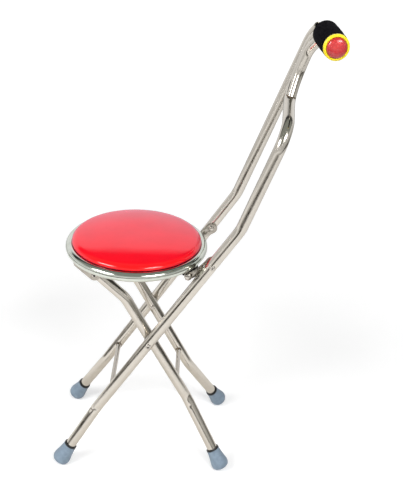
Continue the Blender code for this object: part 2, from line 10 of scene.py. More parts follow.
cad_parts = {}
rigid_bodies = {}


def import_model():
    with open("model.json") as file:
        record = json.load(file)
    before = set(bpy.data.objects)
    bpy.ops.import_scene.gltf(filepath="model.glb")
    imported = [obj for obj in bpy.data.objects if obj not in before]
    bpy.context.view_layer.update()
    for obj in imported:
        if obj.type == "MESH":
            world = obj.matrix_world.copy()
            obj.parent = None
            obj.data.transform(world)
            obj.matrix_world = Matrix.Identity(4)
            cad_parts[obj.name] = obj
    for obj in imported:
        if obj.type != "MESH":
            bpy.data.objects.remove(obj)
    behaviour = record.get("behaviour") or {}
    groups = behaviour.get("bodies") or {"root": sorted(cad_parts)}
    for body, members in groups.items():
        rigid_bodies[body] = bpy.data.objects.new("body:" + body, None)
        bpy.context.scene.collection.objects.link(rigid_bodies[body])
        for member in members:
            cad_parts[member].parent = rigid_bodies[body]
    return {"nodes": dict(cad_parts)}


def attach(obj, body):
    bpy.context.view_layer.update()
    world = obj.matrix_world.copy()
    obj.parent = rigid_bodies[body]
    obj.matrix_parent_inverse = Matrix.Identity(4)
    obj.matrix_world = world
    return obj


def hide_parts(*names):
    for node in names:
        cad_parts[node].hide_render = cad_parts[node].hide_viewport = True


for old in list(bpy.data.objects):
    bpy.data.objects.remove(old, do_unlink=True)

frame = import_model()
scene = bpy.context.scene
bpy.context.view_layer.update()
alongY = Vector((0, 1, 0))
upward = Vector((0, 0, 1))
sides = {"far": 1.0, "near": -1.0}
middleX = 0.0006          # the frame's own step towards +X
gap = 0.0003              # clearance between neighbouring pieces, as in the frame


def at(x, y, z):
    return Vector((x + middleX, y, z))


def paint(red, green, blue):
    # a colour as a screen shows it, 0 to 255, for a shader's socket
    def linear(value):
        value /= 255
        return value / 12.92 if value <= 0.04045 else ((value + 0.055) / 1.055) ** 2.4
    return (linear(red), linear(green), linear(blue), 1.0)


# Nodes for the materials
def addNode(tree, kind, inputs=None, **settings):
    made = tree.nodes.new(kind)
    for key, value in settings.items():
        setattr(made, key, value)
    for key, value in (inputs or {}).items():
        if isinstance(value, bpy.types.NodeSocket):
            tree.links.new(value, made.inputs[key])
        else:
            made.inputs[key].default_value = value
    return made


def startMaterial(name, inputs):
    material = bpy.data.materials.new(name)
    material.use_nodes = True
    tree = material.node_tree
    shader = tree.nodes["Principled BSDF"]
    for key, value in inputs.items():
        shader.inputs[key].default_value = value
    return material, tree, shader


def objectSpace(tree, scale=(1, 1, 1), turn=(0, 0, 0)):
    place = addNode(tree, "ShaderNodeTexCoord")
    return addNode(tree, "ShaderNodeMapping",
                   {"Vector": place.outputs["Object"], "Scale": scale, "Rotation": turn}).outputs["Vector"]


def ownSpace(tree, attribute, scale=(1, 1, 1)):
    place = addNode(tree, "ShaderNodeAttribute", attribute_name=attribute)
    return addNode(tree, "ShaderNodeMapping",
                   {"Vector": place.outputs["Vector"], "Scale": scale}).outputs["Vector"]


def noise(tree, space, scale, detail=3.0, roughness=0.55):
    return addNode(tree, "ShaderNodeTexNoise", {"Vector": space, "Scale": scale, "Detail": detail,
                                                "Roughness": roughness}).outputs["Fac"]


def spread(tree, value, low, high, toLow, toHigh):
    return addNode(tree, "ShaderNodeMapRange", {"Value": value, "From Min": low, "From Max": high,
                                                "To Min": toLow, "To Max": toHigh}).outputs["Result"]


def calculate(tree, operation, first, second):
    made = addNode(tree, "ShaderNodeMath", operation=operation)
    for i, value in enumerate((first, second)):
        if isinstance(value, bpy.types.NodeSocket):
            tree.links.new(value, made.inputs[i])
        else:
            made.inputs[i].default_value = value
    return made.outputs["Value"]


def ramp(tree, value, stops):
    made = addNode(tree, "ShaderNodeValToRGB", {"Fac": value})
    made.color_ramp.elements[0].position, made.color_ramp.elements[0].color = stops[0]
    made.color_ramp.elements[1].position, made.color_ramp.elements[1].color = stops[-1]
    for position, color in stops[1:-1]:
        made.color_ramp.elements.new(position).color = color
    return made.outputs["Color"]


def markOf(tree, attribute):
    return addNode(tree, "ShaderNodeAttribute", attribute_name=attribute).outputs["Fac"]


def mixColors(tree, share, first, second):
    return addNode(tree, "ShaderNodeMix", {0: share, 6: first, 7: second}, data_type="RGBA").outputs[2]


def relief(tree, shader, height, distance, strength, socket="Normal", under=None):
    inputs = {"Height": height, "Distance": distance, "Strength": strength}
    if under is not None:
        inputs["Normal"] = under
    bump = addNode(tree, "ShaderNodeBump", inputs)
    tree.links.new(bump.outputs["Normal"], shader.inputs[socket])
    return bump.outputs["Normal"]


def cellPattern(tree, space, scale, distance="EUCLIDEAN"):
    return addNode(tree, "ShaderNodeTexVoronoi", {"Vector": space, "Scale": scale}, feature="F1",
                   distance=distance).outputs["Distance"]


def distanceFrom(tree, point):
    return addNode(tree, "ShaderNodeVectorMath", {0: objectSpace(tree), 1: point},
                   operation="DISTANCE").outputs["Value"]


def mixPatterns(tree, first, share, second, other):
    return calculate(tree, "ADD", calculate(tree, "MULTIPLY", first, share),
                     calculate(tree, "MULTIPLY", second, other))


def dress(tree, shader, pattern, stops, marks=None, gloss=()):
    # colours follow one pattern; gloss is (from, to, smooth, rough) along the marks
    tree.links.new(ramp(tree, pattern, [(place, paint(*color)) for place, color in stops]),
                   shader.inputs["Base Color"])
    if marks is not None:
        tree.links.new(spread(tree, marks, *gloss), shader.inputs["Roughness"])


# Mesh tools
def turnProfile(bm, profile, base, axis, steps, closed=False):
    # profile: (radius, distance along the axis), spun once round
    axis = axis.normalized()
    side = axis.orthogonal().normalized()
    made = [bm.verts.new(base + side * r + axis * h) for r, h in profile]
    edges = [bm.edges.new((made[i], made[i + 1])) for i in range(len(made) - 1)]
    if closed:
        edges.append(bm.edges.new((made[-1], made[0])))
    bmesh.ops.spin(bm, geom=made + edges, cent=base, axis=axis, angle=2 * math.pi, steps=steps,
                   use_merge=True)
    bmesh.ops.remove_doubles(bm, verts=bm.verts, dist=0.00001)


def soften(bm, width, segments=2, least=35):
    # rounds every edge that is sharper than that many degrees
    bmesh.ops.recalc_face_normals(bm, faces=bm.faces)
    sharp = [e for e in bm.edges if len(e.link_faces) == 2 and e.calc_face_angle(0) > math.radians(least)]
    bmesh.ops.bevel(bm, geom=sharp, offset=width, offset_type="OFFSET", segments=segments, profile=0.5,
                    affect="EDGES", clamp_overlap=True, material=-1)


def dome(radius, height, start, sign, count=6):
    points = []
    for i in range(count + 1):
        a = math.pi / 2 * i / count
        points.append((radius * math.cos(a) if i < count else 0.0, start + sign * height * math.sin(a)))
    return points


def makeObject(name, bm, material):
    mesh = bpy.data.meshes.new(name)
    bm.to_mesh(mesh)
    bm.free()
    mesh.materials.append(material)
    piece = bpy.data.objects.new(name, mesh)
    scene.collection.objects.link(piece)
    return piece


def finishPiece(name, bm, material, body, smooth=35, replaced=True):
    bmesh.ops.recalc_face_normals(bm, faces=bm.faces)
    piece = makeObject(name, bm, material)
    piece.data.shade_smooth()
    piece.data.set_sharp_from_angle(angle=math.radians(smooth))
    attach(piece, body)
    if replaced:
        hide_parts(name)
    return piece


def turnedPiece(name, profile, base, axis, steps, material, body, closed=False, edge=0.0002):
    bm = bmesh.new()
    turnProfile(bm, profile, base, axis, steps, closed)
    if edge:
        soften(bm, edge)
    return finishPiece(name, bm, material, body)


def ringOf(geom):
    return ([g for g in geom if isinstance(g, bmesh.types.BMVert)],
            [g for g in geom if isinstance(g, bmesh.types.BMEdge)])


def middleOf(ring):
    return sum((v.co for v in ring), Vector()) / len(ring)


def arcFrame(before, corner, after, radius):
    # centre, two unit directions and angle of the arc that rounds a corner
    a = (before - corner).normalized()
    b = (after - corner).normalized()
    angle = math.pi - a.angle(b)
    start = corner + a * (radius * math.tan(angle / 2))
    centre = corner + (a + b).normalized() * (radius / math.cos(angle / 2))
    u = (start - centre).normalized()
    w = -a - u * (-a).dot(u)
    return centre, u, w.normalized(), angle


# A tube is a ring of vertices, pulled along the straight runs and spun round the bends.
# Its attribute "grain" holds the place round the ring and the distance along the tube.
def startTube(start, heading, sizes):
    bm = bmesh.new()
    grain = bm.verts.layers.float_vector.new("grain")
    turn = upward.rotation_difference(heading).to_matrix()
    made = bmesh.ops.create_circle(bm, cap_ends=False, radius=sizes["radius"], segments=sizes["sides"],
                                   matrix=Matrix.Translation(start) @ turn.to_4x4())
    ring = made["verts"]
    edges = list({e for v in ring for e in v.link_edges})
    for v in ring:
        out = turn.inverted() @ (v.co - start)
        v[grain] = Vector((out.x, out.y, 0.0))
    return {"bm": bm, "sizes": sizes, "grain": grain, "ring": ring, "edges": edges, "start": (ring, edges),
            "here": start, "heading": heading.normalized(), "length": 0.0}


def nextRing(tube, geom, step):
    tube["ring"], tube["edges"] = ringOf(geom)
    tube["length"] += step
    for v in tube["ring"]:
        place = v[tube["grain"]]
        v[tube["grain"]] = Vector((place.x, place.y, tube["length"]))


def pullTube(tube, target):
    way = target - tube["here"]
    count = max(1, round(way.length / tube["sizes"]["spacing"]))
    for i in range(count):
        made = bmesh.ops.extrude_edge_only(tube["bm"], edges=tube["edges"])["geom"]
        nextRing(tube, made, way.length / count)
        bmesh.ops.translate(tube["bm"], verts=tube["ring"], vec=way / count)
    tube["here"] = target


def bendTube(tube, centre, u, w, angle, radius):
    count = max(3, math.ceil(math.degrees(angle) / tube["sizes"]["bendStep"]))
    for i in range(count):
        made = bmesh.ops.spin(tube["bm"], geom=tube["ring"] + tube["edges"], cent=centre, axis=u.cross(w),
                              angle=angle / count, steps=1, use_merge=False)["geom_last"]
        nextRing(tube, made, radius * angle / count)
    tube["here"] = centre + (u * math.cos(angle) + w * math.sin(angle)) * radius
    tube["heading"] = w * math.cos(angle) - u * math.sin(angle)


def followCorners(tube, corners, radii):
    points = [tube["here"]] + corners
    for i, radius in enumerate(radii):
        centre, u, w, angle = arcFrame(points[i], points[i + 1], points[i + 2], radius)
        pullTube(tube, centre + u * radius)
        bendTube(tube, centre, u, w, angle, radius)
    pullTube(tube, points[-1])
    tube["heading"] = (points[-1] - points[-2]).normalized()


def rollEnd(tube, end, inward, depth):
    # rounds the cut edge over to the bore, runs the bore to that depth and closes it there
    bm = tube["bm"]
    ring, edges = end
    outer, wall = tube["sizes"]["radius"], tube["sizes"]["wall"]
    radius = outer
    bmesh.ops.translate(bm, verts=ring, vec=inward * (wall * 0.3))
    count = max(1, round(depth / 0.005))
    moves = [(outer - wall * 0.3, -wall * 0.3), (outer - wall * 0.8, 0.0), (outer - wall, wall * 0.2)]
    moves += [(outer - wall, depth / count)] * count
    for target, step in moves:
        made = bmesh.ops.extrude_edge_only(bm, edges=edges)["geom"]
        ring, edges = ringOf(made)
        bmesh.ops.translate(bm, verts=ring, vec=inward * step)
        middle = middleOf(ring)
        bmesh.ops.scale(bm, vec=(target / radius,) * 3, space=Matrix.Translation(-middle), verts=ring)
        radius = target
    bmesh.ops.contextual_create(bm, geom=edges)


def pressDent(bm, spot, inward, depth, reach):
    for v in bm.verts:
        away = (v.co - spot).length / reach
        if away < 1:
            v.co += inward * (depth * (1 - away * away) ** 2)


# A plate's outline starts at a vertex, which is pulled along lines and spun round the eyes
def traceOutline(bm, start, moves, y):
    here = bm.verts.new((start[0], y, start[1]))
    for move in moves:
        if len(move) == 2:
            made = bmesh.ops.extrude_vert_indiv(bm, verts=[here])["verts"]
            made[0].co = (move[0], y, move[1])
            here = made[0]
        else:
            centre, angle, steps = move
            made = bmesh.ops.spin(bm, geom=[here], cent=(centre[0], y, centre[1]), axis=-alongY, angle=angle,
                                  steps=steps, use_merge=False)["geom_last"]
            here = next(g for g in made if isinstance(g, bmesh.types.BMVert))
    bmesh.ops.remove_doubles(bm, verts=bm.verts, dist=0.00002)


def platePiece(name, start, moves, holes, yIn, yOut, edge, material, body):
    # the outline and its holes are filled, given their thickness and softened at the edges
    bm = bmesh.new()
    traceOutline(bm, start, moves, yIn)
    for (x, z), radius in holes:
        bmesh.ops.create_circle(bm, cap_ends=False, radius=radius, segments=28,
                                matrix=Matrix.Translation((x, yIn, z)) @ Matrix.Rotation(math.pi / 2, 4, "X"))
    bmesh.ops.triangle_fill(bm, use_beauty=True, use_dissolve=False, edges=bm.edges)
    made = bmesh.ops.extrude_face_region(bm, geom=bm.faces[:])["geom"]
    bmesh.ops.translate(bm, verts=ringOf(made)[0], vec=(0, yOut - yIn, 0))
    soften(bm, edge, 2, 50)
    return finishPiece(name, bm, material, body)


def flat(point):
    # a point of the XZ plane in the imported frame
    return Vector((point[0] + middleX, point[1]))


def upright(point):
    # the same point in the middle plane of the stool
    return Vector((point.x, 0, point.y))


def round2(centre, radius, angle):
    return (centre.x + radius * math.cos(angle), centre.y + radius * math.sin(angle))


def plateEdges(start, end, startEye, endEye):
    # where a plate's two straight edges touch its eyes: the angles below and above the line between them
    line = end - start
    heading = math.atan2(line.y, line.x)
    lean = math.asin((endEye - startEye) / line.length)
    return heading - math.pi / 2 - lean, heading + math.pi / 2 + lean


print("tools ready")

# Materials
steelLook = {"color": (209, 203, 194), "dull": (194, 188, 178), "smooth": 0.11, "rough": 0.22}


def drawnSteel(name, look):
    # drawn and polished tube: fine lines along it, faint handling marks
    material, tree, shader = startMaterial(name, {"Metallic": 1.0})
    lines = noise(tree, ownSpace(tree, "grain", (1500, 1500, 14)), 1.0, 4.0)
    both = mixPatterns(tree, lines, 0.6, noise(tree, objectSpace(tree), 60.0, 5.0, 0.6), 0.4)
    dress(tree, shader, both, [(0.3, look["dull"]), (0.62, look["color"])],
          both, (0.35, 0.65, look["smooth"], look["rough"]))
    relief(tree, shader, lines, 0.00004, 0.16)
    return material


def stampedSteel(name, color, smooth, rough, grainScale=(120, 900, 120)):
    # sheet and turned parts: short brushed lines, speckled roughness
    material, tree, shader = startMaterial(name, {"Metallic": 1.0})
    lines = noise(tree, objectSpace(tree, grainScale, (0.3, 0.2, 0.5)), 1.0, 4.0)
    dress(tree, shader, lines, [(0.3, tuple(c * 0.86 for c in color)), (0.7, color)],
          noise(tree, objectSpace(tree), 420.0, 3.0), (0.3, 0.7, smooth, rough))
    relief(tree, shader, lines, 0.00003, 0.3)
    return material


def chromeRing(name):
    # plated tube: an even mirror with a slow haze
    material, tree, shader = startMaterial(name, {"Metallic": 1.0})
    haze = noise(tree, objectSpace(tree), 35.0, 4.0)
    dress(tree, shader, haze, [(0.3, (196, 200, 190)), (0.7, (212, 216, 208))], haze, (0.3, 0.7, 0.08, 0.16))
    relief(tree, shader, noise(tree, objectSpace(tree), 900.0, 2.0), 0.00001, 0.2)
    return material


def mouldedPlastic(name, color, smooth, rough, grain=1400.0, depth=0.00004, bend=1.5):
    # a faint mottle under a fine grain; bend is how strongly the surface bends light
    material, tree, shader = startMaterial(name, {"IOR": bend})
    mottle = noise(tree, objectSpace(tree), 90.0, 4.0)
    dress(tree, shader, mottle, [(0.3, tuple(c * 0.9 for c in color)), (0.7, color)],
          mottle, (0.3, 0.7, smooth, rough))
    relief(tree, shader, noise(tree, objectSpace(tree), grain, 2.0), depth, 0.4)
    return material


def padVinyl():
    # glossy upholstery vinyl: very fine leather grain, soft unevenness of the foam under it
    material, tree, shader = startMaterial("padVinyl", {
        "Coat Weight": 1.0, "Coat Roughness": 0.03, "Coat IOR": 1.5, "IOR": 1.3, "Specular IOR Level": 0.1,
        "Sheen Weight": 0.15, "Sheen Roughness": 0.5, "Sheen Tint": (0.1, 0.15, 1.0, 1.0)})
    cells = cellPattern(tree, objectSpace(tree), 1500.0)
    dress(tree, shader, noise(tree, objectSpace(tree), 22.0, 3.0), [(0.3, (236, 0, 3)), (0.7, (246, 0, 5))],
          cells, (0.1, 0.7, 0.42, 0.30))
    slow = noise(tree, objectSpace(tree), 26.0, 2.0)
    fine = relief(tree, shader, cells, 0.00002, 0.25)
    relief(tree, shader, slow, 0.0012, 0.1, under=fine)
    relief(tree, shader, slow, 0.0012, 0.1, socket="Coat Normal")
    return material


def gripFoam():
    # closed-cell foam: open pores in a matt black skin
    material, tree, shader = startMaterial("gripFoam", {"IOR": 1.15, "Specular IOR Level": 0.1})
    both = mixPatterns(tree, cellPattern(tree, objectSpace(tree), 900.0), 0.6,
                       noise(tree, objectSpace(tree), 260.0, 4.0), 0.5)
    dress(tree, shader, both, [(0.25, (3, 3, 5)), (0.7, (17, 16, 20))], both, (0.2, 0.8, 0.95, 0.7))
    relief(tree, shader, both, 0.00035, 0.8)
    return material


lensMiddle = (0.1880, -0.0850, 0.7440)


def lensRed():
    # reflector: a fine cube-corner pattern under a clear domed face, with a painted highlight: lighter in the
    # middle, darker towards its rim
    material, tree, shader = startMaterial("lensRed", {"Coat Weight": 1.0, "Coat Roughness": 0.2,
                                                       "Roughness": 0.45, "IOR": 1.45})
    cells = cellPattern(tree, objectSpace(tree, (1, 0.2, 1)), 1100.0, "CHEBYCHEV")
    # painted highlight: the colour lightens towards the lens's middle, as light sent back by the reflector
    rings = spread(tree, distanceFrom(tree, lensMiddle), 0.0, 0.0135, 0.0, 0.75)
    sectors = noise(tree, objectSpace(tree, (1, 0.1, 1)), 170.0, 2.0)
    both = mixPatterns(tree, mixPatterns(tree, rings, 1.0, sectors, 0.4), 1.0, cells, 0.08)
    dress(tree, shader, both, [(0.12, (224, 90, 80)), (0.42, (200, 54, 50)), (0.72, (184, 32, 34)),
                               (0.95, (168, 20, 24))])
    relief(tree, shader, cells, 0.0001, 0.3)
    return material


def footRubber():
    # moulded rubber with a dusty mottle, and painted shade: a dark rim round the mouth
    material, tree, shader = startMaterial("footRubber", {"IOR": 1.45, "Sheen Weight": 0.1})
    dust = noise(tree, objectSpace(tree), 140.0, 5.0, 0.6)
    skin = ramp(tree, dust, [(0.3, paint(116, 133, 149)), (0.7, paint(135, 153, 170))])
    # painted shade: a dark band at the top of the collar, round the tube's mouth
    rim = spread(tree, markOf(tree, "height"), 0.0372, 0.0380, 0.0, 1.0)
    tree.links.new(mixColors(tree, rim, skin, paint(24, 26, 30)), shader.inputs["Base Color"])
    tree.links.new(spread(tree, dust, 0.3, 0.7, 0.42, 0.6), shader.inputs["Roughness"])
    relief(tree, shader, noise(tree, objectSpace(tree), 1100.0, 3.0), 0.00005, 0.5)
    return material


def paintedBoard():
    # black paint over the board's grain
    material, tree, shader = startMaterial("paintedBoard", {"IOR": 1.5})
    lines = noise(tree, objectSpace(tree, (22, 320, 60)), 1.0, 5.0)
    dress(tree, shader, lines, [(0.3, (20, 19, 18)), (0.7, (36, 34, 32))], lines, (0.3, 0.7, 0.5, 0.68))
    relief(tree, shader, lines, 0.0002, 0.4)
    return material


steel = drawnSteel("tubeSteel", steelLook)
barSteel = stampedSteel("barSteel", (206, 200, 192), 0.14, 0.24, (900, 60, 900))
plateSteel = stampedSteel("plateSteel", (178, 172, 162), 0.18, 0.32)
rivetSteel = stampedSteel("rivetSteel", (204, 198, 190), 0.14, 0.24, (300, 300, 300))
screwSteel = stampedSteel("screwSteel", (168, 166, 160), 0.24, 0.38, (500, 500, 500))
weldSteel = stampedSteel("weldSteel", (120, 104, 88), 0.26, 0.45, (700, 700, 700))
# painted shade for the rivets' pressed eyes
recessShadeSteel = stampedSteel("recessShadeSteel", (44, 40, 36), 0.4, 0.6, (700, 700, 700))
ringChrome = chromeRing("ringChrome")
vinyl = padVinyl()
foam = gripFoam()
blackPlastic = mouldedPlastic("blackPlastic", (14, 14, 15), 0.4, 0.6, bend=1.25)
yellowPlastic = mouldedPlastic("ringYellow", (255, 232, 30), 0.26, 0.4, 900.0, 0.00002)
redLens = lensRed()
rubber = footRubber()
board = paintedBoard()
print("materials ready")

# Long tubes and short legs
tubeSizes = {"radius": 0.009, "wall": 0.0012, "sides": 36, "spacing": 0.003, "bendStep": 2.0}
longTubes = {"plane": 0.0695, "foot": (-0.19, 0.0875, 0.018), "splay": (-0.133, 0.112),
             "knee": (0.0873, 0.4638), "splayBend": 0.06, "kneeBend": 0.08, "topBend": 0.032,
             "topRun": 0.0222, "plugDepth": 0.0195}
stem = {"slope": 0.3496, "start": -0.0748, "farTop": 0.7255, "nearTop": 0.7190, "handleTop": 0.7125,
        "nearPlane": 0.0512, "handlePlane": 0.0339}
crossing = {"lowZ": 0.6198, "lowStep": -0.0014, "lowBend": 0.0410, "highZ": 0.6424, "highStep": 0.0037,
            "highBend": 0.0484}
shortLegs = {"plane": 0.049, "foot": (0.0813, 0.086, 0.018), "splay": (0.0208, 0.1243),
             "elbow": (-0.0873, 0.3227), "hinge": (-0.1345, 0.368), "splayBend": 0.06, "elbowBend": 0.05,
             "beyond": 0.0085, "mouth": 0.02}
footSizes = {"below": 0.016, "sole": 0.012, "bore": 0.006}
diagonal = Vector((0.385, -0.580, 0.718)).normalized()
pivot = flat((-0.0472, 0.2492))
hinge = flat(shortLegs["hinge"])
rivetSpot = flat((0.048, 0.401))
rod = flat((0.012, 0.3745))
frontBar = flat((-0.1092, 0.15))
rearBar = flat((0.0019, 0.159))


def stemPoint(z, y, step=0.0):
    return at(stem["slope"] * z + stem["start"] + step, y, z)


def legStart(sizes, side):
    # the foot's centre, the splay bend's corner and the direction down the lower leg
    x, y, z = sizes["foot"]
    foot = at(x, y * side, z)
    splay = at(sizes["splay"][0], sizes["plane"] * side, sizes["splay"][1])
    return foot, splay, (foot - splay).normalized()


# marks that the bending tool leaves at the splay bends: place, way into the tube, depth, reach
longMarks = [((-0.1426, 0.0747, 0.1115), (0.71, -0.47, -0.52), 0.0011, 0.0065),
             ((-0.1319, 0.0782, 0.1143), (-0.06, -0.99, -0.15), 0.0012, 0.0055)]
shortMarks = [((0.0270, 0.0617, 0.1150), (0.05, -0.94, -0.30), 0.0009, 0.0050),
              ((0.0195, 0.0578, 0.1310), (-0.19, -0.97, -0.10), 0.0006, 0.0100)]


def markTube(bm, marks, side):
    for (x, y, z), (towardX, towardY, towardZ), depth, reach in marks:
        pressDent(bm, at(x, y * side, z), Vector((towardX, towardY * side, towardZ)), depth, reach)


def bentTube(name, sizes, side, corners, radii, outward, mouth, marks, body):
    # from the foot through the splay bend and the corners to an open end
    foot, splay, down = legStart(sizes, side)
    tube = startTube(foot + down * (footSizes["below"] - footSizes["sole"]), -down, tubeSizes)
    followCorners(tube, [splay] + corners, radii)
    rollEnd(tube, (tube["ring"], tube["edges"]), -outward, mouth)
    rollEnd(tube, tube["start"], -down, footSizes["bore"])
    markTube(tube["bm"], marks, side)
    finishPiece(name, tube["bm"], steel, body, 45)


crossLow = stemPoint(crossing["lowZ"], -longTubes["plane"], crossing["lowStep"])
crossHigh = stemPoint(crossing["highZ"], stem["nearPlane"], crossing["highStep"])
nearTop = stemPoint(stem["nearTop"], stem["nearPlane"])
farTop = stemPoint(stem["farTop"], longTubes["plane"])
tops = {"far": [farTop], "near": [crossLow, crossHigh, nearTop]}
topBends = {"far": [], "near": [crossing["lowBend"], crossing["highBend"]]}
tubeEnds = {}
for word, side in sides.items():
    knee = at(longTubes["knee"][0], longTubes["plane"] * side, longTubes["knee"][1])
    tubeEnds[word] = tops[word][-1] + diagonal * longTubes["topRun"]
    radii = [longTubes["splayBend"], longTubes["kneeBend"], *topBends[word], longTubes["topBend"]]
    bentTube("long_tube_" + word, longTubes, side, [knee, *tops[word], tubeEnds[word]], radii, diagonal,
             longTubes["plugDepth"], longMarks, "back_frame")

for word, side in sides.items():
    elbow = at(shortLegs["elbow"][0], shortLegs["plane"] * side, shortLegs["elbow"][1])
    top = at(shortLegs["hinge"][0], shortLegs["plane"] * side, shortLegs["hinge"][1])
    out = (top - elbow).normalized()
    bentTube("short_leg_" + word, shortLegs, side, [elbow, top + out * shortLegs["beyond"]],
             [shortLegs["splayBend"], shortLegs["elbowBend"]], out, shortLegs["mouth"], shortMarks,
             "leg_frame")
print("long tubes and short legs drawn")

# Handle tube: welded onto the near tube's bend, then it rises beside it and turns into the grip
handle = {"radius": 0.008, "wall": 0.0012, "sides": 60, "spacing": 0.003, "bendStep": 3.0, "joint": 10.0,
          "lowZ": 0.6785, "lowBend": 0.050, "step": -0.0016, "topStep": -0.0018, "topBend": 0.030,
          "gripBend": 0.0230, "bore": 0.020, "bead": 0.0009, "beadPoints": 64, "beadReach": 0.034,
          "pinch": 0.23, "flute": 0.09, "flutes": 7, "pinchFrom": 0.010, "pinchTo": 0.095}
grip = {"x": 0.1886, "z": 0.7416, "farY": 0.0085, "nearY": -0.0800, "radius": 0.0185, "nearRadius": 0.0176}
centre, u, w, angle = arcFrame(crossLow, crossHigh, nearTop, crossing["highBend"])


def nearBend(turn):
    return centre + (u * math.cos(turn) + w * math.sin(turn)) * crossing["highBend"]


joint = nearBend(math.radians(handle["joint"]))
handleLow = stemPoint(handle["lowZ"], stem["handlePlane"], handle["step"])
handleTop = stemPoint(stem["handleTop"], stem["handlePlane"], handle["topStep"])
gripBend = at(grip["x"], 0.0100, grip["z"])
handleEnd = at(grip["x"], grip["nearY"] + 0.0005, grip["z"])
rise = (handleLow - joint).normalized()
tube = startTube(joint, rise, handle)
lowEnd = tube["start"]
followCorners(tube, [handleLow, handleTop, gripBend, handleEnd],
              [handle["lowBend"], handle["topBend"], handle["gripBend"]])
rollEnd(tube, (tube["ring"], tube["edges"]), alongY, handle["bore"])
bmesh.ops.contextual_create(tube["bm"], geom=lowEnd[1])


def pinched(distance, turn):
    # share of the radius left where the lower end is crimped together in flutes
    share = max(0.0, min(1.0, (handle["pinchTo"] - distance) / (handle["pinchTo"] - handle["pinchFrom"])))
    share = share * share * (3 - 2 * share)
    return 1 - share * (handle["pinch"] + handle["flute"] * math.cos(handle["flutes"] * turn))


rings = {}
for v in tube["bm"].verts:
    if v[tube["grain"]].z < handle["pinchTo"]:
        rings.setdefault(round(v[tube["grain"]].z, 6), []).append(v)
for distance, ring in rings.items():
    middle = middleOf(ring)
    for v in ring:
        place = v[tube["grain"]]
        v.co = middle + (v.co - middle) * pinched(distance, math.atan2(place.y, place.x))
finishPiece("handle_tube", tube["bm"], steel, "back_frame", 45)

# Weld bead: each point of a ring on the handle tube slides down to the near tube's wall
line = [crossLow] + [nearBend(angle * i / 24) for i in range(25)]


def awayFromBend(point):
    best = 1.0
    for a, b in zip(line, line[1:]):
        share = max(0.0, min(1.0, (point - a).dot(b - a) / (b - a).length_squared))
        best = min(best, (point - a - (b - a) * share).length)
    return best


bead = bpy.data.curves.new("handle_weld", "CURVE")
bead.dimensions = "3D"
bead.bevel_depth = handle["bead"]
bead.bevel_resolution = 3
spline = bead.splines.new("POLY")
spline.points.add(handle["beadPoints"] - 1)
spline.use_cyclic_u = True
frameTurn = upward.rotation_difference(rise).to_matrix()


def handleWall(distance, turn):
    away = (handle["radius"] - 0.0001) * pinched(distance, turn)
    return joint + rise * distance + frameTurn @ Vector((math.cos(turn), math.sin(turn), 0)) * away


for i in range(handle["beadPoints"]):
    turn = 2 * math.pi * i / handle["beadPoints"]
    high, low = handle["beadReach"], 0.0
    for step in range(18):
        middle = (high + low) / 2
        if awayFromBend(handleWall(middle, turn)) > tubeSizes["radius"]:
            high = middle
        else:
            low = middle
    spline.points[i].co = (*handleWall(high, turn), 1.0)
    spline.points[i].radius = 1.0 + 0.18 * math.sin(i * 2.9) + 0.1 * math.sin(i * 1.3)
sweep = bpy.data.objects.new("weldSweep", bead)
scene.collection.objects.link(sweep)
bpy.context.view_layer.update()
bm = bmesh.new()
swept = bpy.data.meshes.new_from_object(sweep.evaluated_get(bpy.context.evaluated_depsgraph_get()))
bm.from_mesh(swept)
bpy.data.objects.remove(sweep, do_unlink=True)
bpy.data.meshes.remove(swept)
bmesh.ops.remove_doubles(bm, verts=bm.verts, dist=0.00001)
finishPiece("handle_weld", bm, weldSteel, "back_frame", 60, replaced=False)

# Plugs pushed into the long tubes' top ends
plug = {"radius": tubeSizes["radius"] - tubeSizes["wall"] - gap, "low": -0.0185, "high": -0.0122,
        "chamfer": 0.0008, "step": 0.0003, "crown": 0.0009}
profile = [(0.0, plug["low"]), (plug["radius"] - plug["chamfer"], plug["low"]),
           (plug["radius"], plug["low"] + plug["chamfer"]), (plug["radius"], plug["high"])]
profile += dome(plug["radius"] - plug["step"], plug["crown"], plug["high"] + plug["step"], 1.0)
for word, end in tubeEnds.items():
    turnedPiece("tube_plug_" + word, profile, end, diagonal, 40, blackPlastic, "back_frame")

# Foam grip: the bore opens with the tube's bend at the far mouth
bm = bmesh.new()
length = grip["farY"] - grip["nearY"]
bore = handle["radius"] + 0.0002
profile = [(bore, 0.0), (grip["nearRadius"] - 0.0012, 0.0), (grip["nearRadius"] - 0.0003, 0.0005),
           (grip["nearRadius"], 0.0016)]
for i in range(1, 13):
    share = i / 12
    radius = grip["nearRadius"] + (grip["radius"] - grip["nearRadius"]) * min(1.0, share / 0.55)
    profile.append((radius + 0.00012 * math.sin(share * 19), 0.0016 + (length - 0.0046) * share))
profile += [(grip["radius"] - 0.0006, length - 0.0014), (grip["radius"] - 0.0016, length - 0.0005),
            (grip["radius"] - 0.0030, length)]
profile += [(bore + 0.0012, length), (bore, length - 0.0010)]
profile += [(bore, length * share) for share in (0.97, 0.94, 0.91, 0.88, 0.6, 0.3)]
turnProfile(bm, profile, at(grip["x"], grip["nearY"], grip["z"]), alongY, 64, closed=True)
centre, u, w, angle = arcFrame(handleTop, gripBend, handleEnd, handle["gripBend"])
bendStart = centre + (u * math.cos(angle) + w * math.sin(angle)) * handle["gripBend"]
for v in bm.verts:
    away = math.hypot(v.co.x - grip["x"] - middleX, v.co.z - grip["z"])
    over = v.co.y - bendStart.y
    if away < bore + 0.0030 and over > 0:
        lean = handle["gripBend"] - math.sqrt(handle["gripBend"] ** 2 - over ** 2)
        side = (bendStart - centre).normalized() * -lean
        v.co += side * (1.0 if away < bore + 0.0020 else 0.6)
foamGrip = finishPiece("handle_grip", bm, foam, "back_frame", 50)

